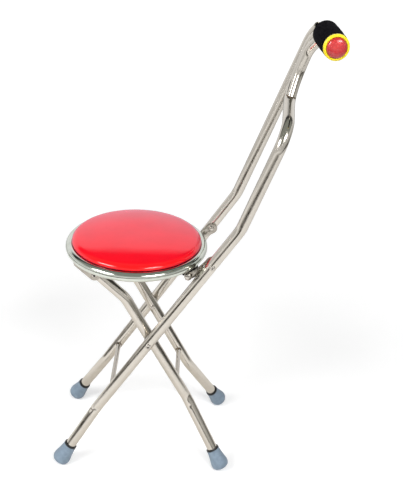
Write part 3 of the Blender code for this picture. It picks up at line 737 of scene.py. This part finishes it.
# Yellow ring and red reflector at the grip's near end
endRing = {"radius": 0.0173, "width": 0.0062, "round": 0.0016, "lens": 0.0136, "seat": 0.0028,
           "hollow": 0.0115, "hollowDepth": 0.0014, "lensRim": 0.0060, "crown": 0.0055}
ringBase = at(grip["x"], grip["nearY"] - gap, grip["z"])
stemHole = handle["radius"] - handle["wall"] + 0.0002
pocket = endRing["lens"] + gap
profile = [(stemHole, 0.0), (endRing["radius"] - 0.0004, 0.0), (endRing["radius"], 0.0010),
           (endRing["radius"], endRing["width"] - endRing["round"]),
           (endRing["radius"] - endRing["round"], endRing["width"]),
           (pocket, endRing["width"]), (pocket, endRing["seat"]), (stemHole, endRing["seat"])]
turnedPiece("grip_end_ring", profile, ringBase, -alongY, 72, yellowPlastic, "back_frame",
            closed=True, edge=0.0003)
lensSeat = endRing["seat"] + gap
profile = [(0.0, lensSeat + endRing["hollowDepth"]), (endRing["hollow"], lensSeat + endRing["hollowDepth"]),
           (endRing["hollow"], lensSeat), (endRing["lens"], lensSeat), (endRing["lens"], endRing["lensRim"])]
profile += dome(endRing["lens"] - 0.0001, endRing["crown"], endRing["lensRim"] + 0.0002, 1.0, 10)
turnedPiece("grip_end_reflector", profile, ringBase, -alongY, 72, redLens, "back_frame", edge=0.0)
print("handle, grip and end ring made")

# Crossbars with a weld fillet where they enter the tubes
crossbar = {"radius": 0.0040, "into": 0.0030, "weldAndShade": 0.0028,
            "fillet": [(0.0054, 0.0008), (0.0047, -0.0008), (0.0041, -0.0024), (0.0040, -0.0040)]}
bars = {"front_crossbar": (frontBar, longTubes["plane"], "back_frame"),
        "rear_crossbar": (rearBar, shortLegs["plane"], "leg_frame")}
for name, (spot, plane, body) in bars.items():
    wallY = plane - tubeSizes["radius"]
    half = [(0.0, wallY + crossbar["into"]), (crossbar["radius"], wallY + crossbar["into"])]
    half += [(r, wallY + y) for r, y in crossbar["fillet"]]
    rest = [(crossbar["radius"], y * wallY) for y in (0.8, 0.6, 0.4, 0.2, 0.0, -0.2, -0.4, -0.6, -0.8)]
    profile = half + rest + [(r, -y) for r, y in reversed(half)]
    bar = turnedPiece(name, profile, upright(spot), alongY, 28, barSteel, body, edge=0.0)
    # the fillets take the darker weld colour: partly the weld's heat tint, partly painted shade round the
    # joint
    bar.data.materials.append(weldSteel)
    for face in bar.data.polygons:
        if abs(face.center.y) > wallY - crossbar["weldAndShade"]:
            face.material_index = 1

# Cross rod and its pushed-on caps
tubeIn = longTubes["plane"] - tubeSizes["radius"]
tubeOut = longTubes["plane"] + tubeSizes["radius"] + gap
rodSizes = {"radius": 0.0040, "chamfer": 0.0004, "past": 0.0028, "cap": 0.0058, "capWall": 0.0030,
            "crown": 0.0024}
rodHalf = tubeIn + rodSizes["past"]
half = [(rodSizes["radius"], rodHalf * share) for share in (0.2, 0.5, 0.8)]
half += [(rodSizes["radius"], rodHalf - rodSizes["chamfer"]),
         (rodSizes["radius"] - rodSizes["chamfer"], rodHalf), (0.0, rodHalf)]
turnedPiece("support_rod", [(r, -y) for r, y in reversed(half)] + half, upright(rod), alongY, 28, barSteel,
            "back_frame", edge=0.0)
bore = rodSizes["radius"] + gap
capProfile = [(0.0, rodHalf + gap), (bore, rodHalf + gap), (bore, tubeIn), (rodSizes["cap"] - 0.0002, tubeIn),
              (rodSizes["cap"], tubeIn + 0.0003)]
capProfile += dome(rodSizes["cap"], rodSizes["crown"], tubeIn + rodSizes["capWall"], 1.0)


def eachSide(name, profile, spot, steps, material, body, closed=False, edge=0.0, eye=0.0):
    for word, side in sides.items():
        piece = turnedPiece(name + "_" + word, profile, upright(spot), alongY * side, steps, material, body,
                            closed, edge)
        if eye:
            # painted shade: the pressed eye in the head's middle is coloured dark, where shade falls into it
            piece.data.materials.append(recessShadeSteel)
            outer = max(y for r, y in profile) - 0.0026
            for face in piece.data.polygons:
                away = math.hypot(face.center.x - spot.x, face.center.z - spot.y)
                if away < eye and face.center.y * side > outer:
                    face.material_index = 1


eachSide("rod_cap", capProfile, rod, 32, rivetSteel, "back_frame")

# Rivets: a shallow domed head with a thin rim at each end of the shank
supportThick = 0.0016
hingeThick = 0.0020
plateOut = tubeIn - gap
plateIn = plateOut - supportThick
legIn = shortLegs["plane"] - tubeSizes["radius"] - gap
hingeIn = shortLegs["plane"] + tubeSizes["radius"] + gap
hingeOut = hingeIn + hingeThick
rivets = {"support_rivet": {"spot": rivetSpot, "body": "back_frame", "shank": 0.0025, "head": 0.0046,
                            "height": 0.0018, "eye": 0.0013, "low": plateIn - gap, "high": tubeOut},
          "pivot_rivet": {"spot": pivot, "body": "back_frame", "shank": 0.0030, "head": 0.0046,
                          "height": 0.0014, "eye": 0.0022, "low": legIn, "high": tubeOut},
          "hinge_rivet": {"spot": hinge, "body": "seat", "shank": 0.0025, "head": 0.0042,
                          "height": 0.0016, "eye": 0.0019, "low": legIn, "high": hingeOut + gap}}


def rivetProfile(sizes):
    head, shank, eye, low, high = (sizes[key] for key in ("head", "shank", "eye", "low", "high"))
    crown = sizes["height"] - 0.0004
    down = dome(head - 0.0002, crown, low - 0.0004, -1.0)
    down.reverse()
    up = [p for p in dome(head - 0.0002, crown, high + 0.0004, 1.0, 9) if p[0] > eye + 0.0003]
    up += [(eye, up[-1][1]), (eye - 0.0002, high - 0.0005), (0.0, high - 0.0008)]
    return down + [(head, low - 0.0002), (head - 0.0001, low), (shank, low), (shank, high),
                   (head - 0.0001, high), (head, high + 0.0002)] + up


for name, sizes in rivets.items():
    eachSide(name, rivetProfile(sizes), sizes["spot"], 32, rivetSteel, sizes["body"], eye=sizes["eye"])
washer = {"bore": 0.0033, "radius": 0.0075, "low": hingeIn, "high": plateOut}
profile = [(washer["bore"], washer["low"]), (washer["radius"], washer["low"]),
           (washer["radius"], washer["high"]), (washer["bore"], washer["high"])]
eachSide("pivot_spacer", profile, pivot, 40, screwSteel, "back_frame", closed=True, edge=0.0003)
print("bars, rod and rivets made")

# Support plates: an eye on the tube's rivet, a relieved neck under the seat's ring, an eye on the rod
support = {"rivetEye": 0.0100, "rodEye": 0.0065, "rivetHole": 0.0028, "rodHole": 0.0043, "spare": 0.0310,
           "spareHole": 0.0022, "edge": 0.0003}
line = rivetSpot - rod
heading = math.atan2(line.y, line.x)
along = line.normalized()
across = Vector((-along.y, along.x))
low = plateEdges(rod, rivetSpot, support["rodEye"], support["rivetEye"])[0]
topTurn = heading + math.radians(120) - low
rodStart = heading + math.radians(45)
neck = [(line.length - 0.0115, 0.0068), (0.0240, 0.0048), (0.0140, 0.0040), (0.0080, 0.0042)]
moves = [(rivetSpot, topTurn, 26)] + [tuple(rod + along * far + across * out) for far, out in neck]
moves += [round2(rod, support["rodEye"], rodStart), (rod, low + 2 * math.pi - rodStart, 20),
          round2(rivetSpot, support["rivetEye"], low)]
holes = [(tuple(rivetSpot), support["rivetHole"]), (tuple(rod), support["rodHole"]),
         (tuple(rod + along * support["spare"]), support["spareHole"])]
for word, side in sides.items():
    platePiece("support_plate_" + word, round2(rivetSpot, support["rivetEye"], low), moves, holes,
               side * plateIn, side * plateOut, support["edge"], plateSteel, "back_frame")

# Seat ring
seat = {"x": -0.0730, "z": 0.3957, "ring": 0.1067, "ringTube": 0.0076, "board": 0.0988, "boardLow": 0.3930,
        "boardHigh": 0.4025, "boardEdge": 0.0012, "top": 0.4195}
bm = bmesh.new()
seatMiddle = at(seat["x"], 0, seat["z"])
made = bmesh.ops.create_circle(bm, cap_ends=False, radius=seat["ringTube"], segments=28,
                               matrix=Matrix.Translation(seatMiddle + Vector((seat["ring"], 0, 0)))
                               @ Matrix.Rotation(math.pi / 2, 4, "X"))
bmesh.ops.spin(bm, geom=bm.verts[:] + bm.edges[:], cent=seatMiddle, axis=upward, angle=2 * math.pi, steps=144,
               use_merge=True)
bmesh.ops.remove_doubles(bm, verts=bm.verts, dist=0.00001)
finishPiece("seat_ring", bm, ringChrome, "seat", 60)

# Hinge plates, hung under the ring and riveted to the short legs
strap = {"hingeEye": 0.0095, "ringEye": 0.0075, "ringEnd": (-0.1590, 0.3880), "hole": 0.0028, "edge": 0.0003}
ringEnd = flat(strap["ringEnd"])
low, top = plateEdges(hinge, ringEnd, strap["hingeEye"], strap["ringEye"])
moves = [(ringEnd, top - low, 22), round2(hinge, strap["hingeEye"], top),
         (hinge, low + 2 * math.pi - top, 28), round2(ringEnd, strap["ringEye"], low)]
for word, side in sides.items():
    platePiece("hinge_plate_" + word, round2(ringEnd, strap["ringEye"], low), moves,
               [(tuple(hinge), strap["hole"])], side * hingeIn, side * hingeOut, strap["edge"], plateSteel,
               "seat")

# Clips that drop over the rod: a slot that opens the way the rod leaves it, and a flange under the board
clip = {"half": 0.0076, "slot": 0.0044, "drop": 0.0065, "low": 0.0435, "high": 0.0535, "flange": 0.0030,
        "back": -0.0140, "front": 0.0085, "neck": (0.0050, 0.3850), "neckTop": 0.0025, "edge": 0.0006,
        "screwX": -0.0070, "screwY": 0.0485}
slotOut = Vector((-0.450, -0.893)).normalized()
slotSide = Vector((-slotOut.y, slotOut.x))
flangeHigh = seat["boardLow"] - gap
flangeLow = flangeHigh - clip["flange"]
underRing = seat["z"] - seat["ringTube"] - 0.0004
foot = slotOut * clip["drop"]
rightFoot = rod + slotSide * clip["half"] + foot
rightTop = rightFoot - slotOut * ((underRing - rightFoot.y) / -slotOut.y)
moves = [flat((clip["neckTop"], flangeLow)), flat(clip["neck"]), rod - slotSide * clip["half"] + foot,
         rod - slotSide * clip["slot"] + foot, rod - slotSide * clip["slot"], (rod, -math.pi, 18),
         rod + slotSide * clip["slot"] + foot, rightFoot, rightTop, flat((clip["front"], underRing)),
         flat((clip["front"], flangeHigh)), flat((clip["back"], flangeHigh)), flat((clip["back"], flangeLow))]
for word, side in sides.items():
    platePiece("rod_clip_" + word, flat((clip["back"], flangeLow)), moves, [], side * clip["low"],
               side * clip["high"], clip["edge"], blackPlastic, "seat")

# Board with its tabs and screws
profile = [(0.0, seat["boardLow"]), (0.05, seat["boardLow"]), (seat["board"], seat["boardLow"]),
           (seat["board"], seat["boardHigh"]), (0.0, seat["boardHigh"])]
turnedPiece("seat_board", profile, at(seat["x"], 0, 0), upward, 96, board, "seat",
            edge=seat["boardEdge"])
tab = {"length": 0.0155, "width": 0.0140, "thick": 0.0015, "reach": 0.09165, "screw": 0.0890, "round": 0.0045,
       "edge": 0.0003}
tabHigh = seat["boardLow"] - gap
tabLow = tabHigh - tab["thick"]
screw = {"head": 0.0032, "height": 0.0018, "face": 0.0016, "socket": 0.0013, "depth": 0.0010, "shank": 0.0015,
         "point": 0.0012, "top": 0.4005}


def screwPiece(name, spot, under):
    # pan head with a hexagon socket, driven up into the board
    bm = bmesh.new()
    head = [p for p in dome(screw["head"], screw["height"], under, -1.0, 7) if p[0] > screw["face"]]
    head.reverse()
    face = head[0][1]
    bottom = face + screw["depth"]
    profile = [(0.0, bottom), (screw["socket"], bottom), (screw["socket"], face)]
    profile += head + [(screw["shank"], under), (screw["shank"], screw["top"] - screw["point"]),
                       (0.0, screw["top"])]
    turnProfile(bm, profile, spot, upward, 24)
    for v in bm.verts:
        # the socket's round wall is drawn in to a hexagon
        away = v.co - spot
        if abs(away.to_2d().length - screw["socket"]) < 0.00005 and away.z < under - spot.z + 0.0001:
            turn = math.atan2(away.y, away.x) % (math.pi / 3) - math.pi / 6
            share = math.cos(math.pi / 6) / math.cos(turn)
            v.co.x, v.co.y = spot.x + away.x * share, spot.y + away.y * share
    finishPiece(name, bm, screwSteel, "seat")


for i, word in enumerate(("rear", "far", "front", "near")):
    turn = Matrix.Translation(at(seat["x"], 0, 0)) @ Matrix.Rotation(math.pi / 2 * i, 4, "Z")
    bm = bmesh.new()
    middle = Matrix.Translation((tab["reach"], 0, (tabLow + tabHigh) / 2))
    bmesh.ops.create_cube(bm, size=1.0, matrix=turn @ middle
                          @ Matrix.Diagonal((tab["length"], tab["width"], tab["thick"], 1.0)))
    corners = [e for e in bm.edges if abs(e.verts[0].co.z - e.verts[1].co.z) > 0.0005
               and (e.verts[0].co - turn.translation).to_2d().length < tab["reach"]]
    bmesh.ops.bevel(bm, geom=corners, offset=tab["round"], offset_type="OFFSET", segments=6, profile=0.5,
                    affect="EDGES", clamp_overlap=True, material=-1)
    soften(bm, tab["edge"], 2, 60)
    finishPiece("board_tab_" + word, bm, plateSteel, "seat")
    screwPiece("tab_screw_" + word, turn @ Vector((tab["screw"], 0, 0)), tabLow - gap)
for word, side in sides.items():
    screwPiece("clip_screw_" + word, at(clip["screwX"], side * clip["screwY"], 0), flangeLow - gap)
print("seat ring, board, plates and clips made")

# Pad: a turned shell; above the shoulder its cloth settles under pressure, a little fuller
# round the sides and flatter in the middle
pad = {"rim": 0.1040, "bottom": seat["boardHigh"] + gap, "shoulder": 0.4122, "start": 0.0004, "steps": 128,
       "pressure": 4.0, "bending": 5.0, "pinned": 0.4132, "cap": 0.0006, "frames": 20}
crown = seat["top"] - pad["start"]
profile = [(0.0, pad["bottom"])] + [(r, pad["bottom"]) for r in (0.03, 0.06, 0.085, 0.1000)]
profile += [(0.1020, pad["bottom"]), (0.1031, 0.4031), (0.1038, 0.4038), (pad["rim"], 0.4048),
            (0.1038, 0.4061), (0.1032, 0.4075), (0.1020, 0.4090), (0.1003, 0.4104), (0.0981, 0.4116)]
crownRings = [0.0955, 0.092, 0.088, 0.084, 0.079, 0.072] + [0.008 * i for i in range(8, -1, -1)]
for r in crownRings:
    fall = (crown - pad["shoulder"]) * (r / 0.1) ** 2.0
    profile.append((r, crown - fall - 0.0007 * max(0.0, (r - 0.080) / 0.018) ** 2))
bm = bmesh.new()
turnProfile(bm, profile, at(seat["x"], 0, 0), upward, pad["steps"])
cushion = finishPiece("seat_cushion", bm, vinyl, "seat", 75)


def puffUp(piece, sizes):
    stitched = [v.index for v in piece.data.vertices if v.co.z < sizes["pinned"]]
    piece.vertex_groups.new(name="stitched").add(stitched, 1.0, "REPLACE")
    cloth = piece.modifiers.new("puff", "CLOTH")
    cloth.settings.use_pressure = True
    cloth.settings.uniform_pressure_force = sizes["pressure"]
    cloth.settings.vertex_group_mass = "stitched"
    cloth.settings.bending_stiffness = sizes["bending"]
    cloth.settings.quality = 6
    cloth.settings.effector_weights.gravity = 0
    for i in range(sizes["frames"]):
        scene.frame_set(i + 1)
    puffed = bpy.data.meshes.new_from_object(piece.evaluated_get(bpy.context.evaluated_depsgraph_get()))
    piece.modifiers.remove(cloth)
    # the foam evens the puff out: every ring of the cover moves by its own mean step
    rings = {}
    for old, new in zip(piece.data.vertices, puffed.vertices):
        out = (old.co - seatMiddle).to_2d()
        step = new.co - old.co
        if step.length > sizes["cap"]:
            step = step * (sizes["cap"] / step.length)
        outward = step.to_2d().dot(out.normalized()) if out.length > 0.001 else 0.0
        rings.setdefault((round(out.length, 5), round(old.co.z, 5)), []).append((old, out, outward, step.z))
    for ring in rings.values():
        outward = sum(entry[2] for entry in ring) / len(ring)
        lift = sum(entry[3] for entry in ring) / len(ring)
        for vertex, out, _, _ in ring:
            away = out.normalized() * outward if out.length > 0.001 else out * 0
            vertex.co += Vector((away.x, away.y, lift))
    bpy.data.meshes.remove(puffed)
    piece.vertex_groups.clear()
    scene.frame_set(1)
    piece.data.update()


puffUp(cushion, pad)
finer = cushion.modifiers.new("finer", "SUBSURF")
finer.levels = 1
finer.render_levels = 1
print("pad puffed")

# Rubber feet: a bell on the leg's axis, cut level where it stands on the floor
footProfile = [(0.0, 0.0), (0.0060, 0.0), (0.0106, 0.0009), (0.0136, 0.0032), (0.0149, 0.0062),
               (0.0152, 0.0094), (0.0151, 0.0114), (0.0146, 0.0145), (0.0138, 0.0182), (0.0132, 0.0215),
               (0.0125, 0.0252), (0.0120, 0.0285), (0.0116, 0.0320), (0.0114, 0.0345), (0.0113, 0.0372),
               (0.0114, 0.0376), (0.0114, 0.0392), (0.0108, 0.0400), (0.0093, 0.0400), (0.0093, 0.0117),
               (0.0, 0.0117)]


def makeFoot(name, sizes, side, body):
    foot, splay, down = legStart(sizes, side)
    base = foot + down * footSizes["below"]
    bm = bmesh.new()
    height = bm.verts.layers.float.new("height")
    turnProfile(bm, footProfile, base, -down, 56)
    for v in bm.verts:
        v[height] = (v.co - base).dot(-down)
    cut = bmesh.ops.bisect_plane(bm, geom=bm.verts[:] + bm.edges[:] + bm.faces[:], dist=0.00001,
                                 plane_co=(0, 0, 0), plane_no=(0, 0, -1), clear_outer=True)["geom_cut"]
    rim = [g for g in cut if isinstance(g, bmesh.types.BMEdge)]
    bmesh.ops.contextual_create(bm, geom=rim)
    finishPiece(name, bm, rubber, body, 50)


for word, side in sides.items():
    makeFoot("front_foot_" + word, longTubes, side, "back_frame")
    makeFoot("rear_foot_" + word, shortLegs, side, "leg_frame")
frame["nodes"]["grip_end_plug"].data.materials.clear()
frame["nodes"]["grip_end_plug"].data.materials.append(blackPlastic)
print("feet made")

# Camera
cameraPlace = {"spot": (0.0056, -1.0186, 0.933), "lens": 51.0, "yaw": 1.5626, "pitch": 28.0512,
               "roll": -3.5259}
yaw, pitch, roll = (math.radians(cameraPlace[k]) for k in ("yaw", "pitch", "roll"))
right = Vector((math.cos(yaw), -math.sin(yaw), 0))
forward = Vector((math.sin(yaw) * math.cos(pitch), math.cos(yaw) * math.cos(pitch), -math.sin(pitch)))
up = right.cross(forward)
rolledRight = right * math.cos(roll) - up * math.sin(roll)
rolledUp = right * math.sin(roll) + up * math.cos(roll)
camera = bpy.data.objects.new("camera", bpy.data.cameras.new("camera"))
camera.data.lens = cameraPlace["lens"]
camera.data.sensor_width = 36.0
camera.data.clip_start = 0.02
camera.matrix_world = Matrix.Translation(cameraPlace["spot"]) @ Matrix(
    (rolledRight, rolledUp, -forward)).transposed().to_4x4()
scene.collection.objects.link(camera)
scene.camera = camera

# Studio: white surroundings and a pale floor, two lamps, and cards that only mirrors see
studio = {"ambient": 0.34, "floor": 0.80, "floorSize": 14.0, "glowNear": 0.38, "glowFar": 0.80,
          "underStool": (0.10, -0.05, 0.0)}
tones = {"edge": (0.2, 0.19, 0.17), "dark": (0.02, 0.018, 0.015), "black": (0.04, 0.04, 0.04),
         "bright": (0.60, 0.60, 0.60), "white": (1, 1, 1)}


def lengthOf(tree, vector):
    return addNode(tree, "ShaderNodeVectorMath", {0: vector}, operation="LENGTH").outputs["Value"]


def partOf(tree, number):
    return addNode(tree, "ShaderNodeSeparateXYZ", {0: objectSpace(tree)}).outputs[number]


def seenDirectly(tree):
    # 1 for camera, mirror and see-through rays, else 0
    ray = addNode(tree, "ShaderNodeLightPath")
    return calculate(tree, "MAXIMUM", calculate(tree, "MAXIMUM", ray.outputs["Is Camera Ray"],
                                                ray.outputs["Is Glossy Ray"]),
                     ray.outputs["Is Transmission Ray"])


world = bpy.data.worlds.new("studio")
scene.world = world
world.use_nodes = True
tree = world.node_tree
backdrop = tree.nodes["Background"]
backdrop.inputs["Color"].default_value = (1, 1, 1, 1)
tree.links.new(spread(tree, seenDirectly(tree), 0, 1, studio["ambient"], 1.0), backdrop.inputs["Strength"])


def stagePiece(name, bm, material):
    piece = makeObject(name, bm, material)
    return piece


def shade(tree, place, stops):
    low, high = stops[0][0], stops[-1][0]
    return ramp(tree, spread(tree, place, low, high, 0.0, 1.0),
                [((p - low) / (high - low), (*c, 1.0)) for p, c in stops])


# in mirrors the floor is grey, with painted shade: dark brown right under the stool
material, tree, shader = startMaterial("paleFloor", {"Base Color": (studio["floor"],) * 3 + (1.0,),
                                                     "Roughness": 0.9, "Specular IOR Level": 0.0})
glow = spread(tree, lengthOf(tree, objectSpace(tree)), 0.5, 2.2, studio["glowNear"], studio["glowFar"])
place = addNode(tree, "ShaderNodeVectorMath", {0: objectSpace(tree), 1: studio["underStool"]},
                operation="ADD").outputs[0]
inMirrors = shade(tree, lengthOf(tree, place), [(0.12, (0.10, 0.065, 0.01)), (0.42, (0.34, 0.33, 0.315)),
                                                (1.0, (0.24, 0.235, 0.225)), (3.0, (0.30, 0.30, 0.30))])
mirrored = addNode(tree, "ShaderNodeLightPath").outputs["Is Glossy Ray"]
tree.links.new(mixColors(tree, mirrored, glow, inMirrors), shader.inputs["Emission Color"])
tree.links.new(seenDirectly(tree), shader.inputs["Emission Strength"])
bm = bmesh.new()
bmesh.ops.create_grid(bm, x_segments=4, y_segments=4, size=studio["floorSize"],
                      matrix=Matrix.Translation((0, 0, -0.0004)))
stagePiece("floor", bm, material)


def startCard(name):
    # a card that only mirrors see
    material = bpy.data.materials.new(name)
    material.use_nodes = True
    tree = material.node_tree
    tree.nodes.remove(tree.nodes["Principled BSDF"])
    glow = addNode(tree, "ShaderNodeEmission")
    tree.links.new(glow.outputs[0], tree.nodes["Material Output"].inputs["Surface"])
    return material, tree, glow


def mirrorOnly(piece):
    piece.visible_camera = False
    piece.visible_diffuse = False
    piece.visible_shadow = False


# painted reflections: a glowing card that only mirrors see stands in for the room round the sides and back of
# the camera: a dark edge low down, walls above it
room = {"across": 1.65, "back": 1.32, "height": 1.15, "opening": 60.0, "strength": 2.15,
        "edge": [(-180, 0.27), (-160, 0.31), (-120, 0.31), (-100, 0.17), (-60, 0.17), (60, 0.27), (110, 0.27),
                 (135, 0.11), (160, 0.11), (180, 0.27)]}


def darkEdge(turn):
    # height of the dark edge, by the angle from +Y towards +X
    for (low, a), (high, b) in zip(room["edge"], room["edge"][1:]):
        if turn <= high:
            return a + (b - a) * (turn - low) / (high - low)
    return room["edge"][-1][1]


bm = bmesh.new()
level = bm.verts.layers.float.new("level")
bmesh.ops.create_circle(bm, cap_ends=False, radius=1.0, segments=144)
bmesh.ops.scale(bm, vec=(room["across"], room["back"], 1.0), verts=bm.verts)
edges = bm.edges[:]
for step in (1.0, 2.0):
    made = bmesh.ops.extrude_edge_only(bm, edges=edges)["geom"]
    ring, edges = ringOf(made)
    for v in ring:
        v.co.z = darkEdge(math.degrees(math.atan2(v.co.x, v.co.y))) if step == 1.0 else room["height"]
        v[level] = step
front = []
for face in bm.faces:
    middle = face.calc_center_median()
    if abs(math.degrees(math.atan2(middle.x, middle.y))) < room["opening"]:
        front.append(face)
bmesh.ops.delete(bm, geom=front, context="FACES")
material, tree, glow = startCard("roomWalls")
rise = markOf(tree, "level")
# painted highlight: the left wall carries a bright stripe, as a softbox in the tubes' reflections
leftWall = shade(tree, rise, [(0.0, tones["edge"]), (0.12, tones["dark"]), (0.9, tones["dark"]),
                              (1.0, (0.25, 0.24, 0.22)), (1.12, (0.38, 0.38, 0.37)),
                              (1.2, tones["bright"]), (1.28, tones["bright"]),
                              (1.38, (0.35, 0.35, 0.345)), (2.0, (0.36, 0.36, 0.36))])
rightWall = shade(tree, rise, [(0.0, tones["edge"]), (0.12, tones["dark"]), (0.9, tones["dark"]),
                               (1.0, (0.14, 0.14, 0.13)), (1.15, (0.22, 0.22, 0.21)),
                               (1.5, (0.28, 0.28, 0.27)), (2.0, (0.38, 0.38, 0.38))])
across = spread(tree, partOf(tree, 0), -0.2, 1.4, 0.0, 1.0)
tree.links.new(mixColors(tree, across, leftWall, rightWall), glow.inputs["Color"])
glow.inputs["Strength"].default_value = room["strength"]
mirrorOnly(stagePiece("roomEdge", bm, material))

# painted reflections: a glowing card overhead that only mirrors see stands in for a grey ceiling, with a dark
# band and a bright one towards its far edge
ceiling = {"size": 4.3, "place": (0, -0.5, 2.7)}
bm = bmesh.new()
bmesh.ops.create_grid(bm, x_segments=1, y_segments=1, size=ceiling["size"],
                      matrix=Matrix.Translation(ceiling["place"]))
material, tree, glow = startCard("greyCeiling")
bands = [(-4.8, (0.30, 0.32, 0.29)), (0.9, (0.32, 0.34, 0.31)), (1.6, tones["black"]), (2.5, tones["black"]),
         (3.05, tones["white"]), (3.8, tones["white"])]
tree.links.new(shade(tree, partOf(tree, 1), bands), glow.inputs["Color"])
mirrorOnly(stagePiece("ceiling", bm, material))

# two softboxes; mirrors see each as a card that fades out towards its edges
lamps = {"left": {"toward": -126, "up": 35, "away": 2.0, "size": (1.1, 0.7), "power": 27.0},
         "right": {"toward": 147, "up": 40, "away": 2.0, "size": (1.1, 0.6), "power": 24.0}}
aim = Vector((-0.03, 0, 0.40))
cardShine = 26.0
material, tree, glow = startCard("softboxFace")
tree.links.new(calculate(tree, "MULTIPLY", markOf(tree, "level"), cardShine), glow.inputs["Strength"])
for name, sizes in lamps.items():
    light = bpy.data.lights.new(name, "AREA")
    light.shape = "RECTANGLE"
    light.size, light.size_y = sizes["size"]
    light.energy = sizes["power"]
    lamp = bpy.data.objects.new(name, light)
    turn, lift = math.radians(sizes["toward"]), math.radians(sizes["up"])
    way = Vector((math.sin(turn) * math.cos(lift), math.cos(turn) * math.cos(lift), math.sin(lift)))
    lamp.location = aim + way * sizes["away"]
    lamp.rotation_euler = (-way).to_track_quat("-Z", "Y").to_euler()
    lamp.visible_glossy = False
    scene.collection.objects.link(lamp)
    bm = bmesh.new()
    level = bm.verts.layers.float.new("level")
    bmesh.ops.create_grid(bm, x_segments=8, y_segments=8, size=0.5)
    for v in bm.verts:
        v[level] = max(0.0, 1 - 2 * max(abs(v.co.x), abs(v.co.y)))
    turned = Matrix.Translation(lamp.location) @ lamp.rotation_euler.to_matrix().to_4x4()
    bmesh.ops.transform(bm, verts=bm.verts, matrix=turned @ Matrix.Diagonal((*sizes["size"], 1.0, 1.0)))
    mirrorOnly(stagePiece(name + "Softbox", bm, material))
scene.view_settings.view_transform = "Standard"
print("studio ready")
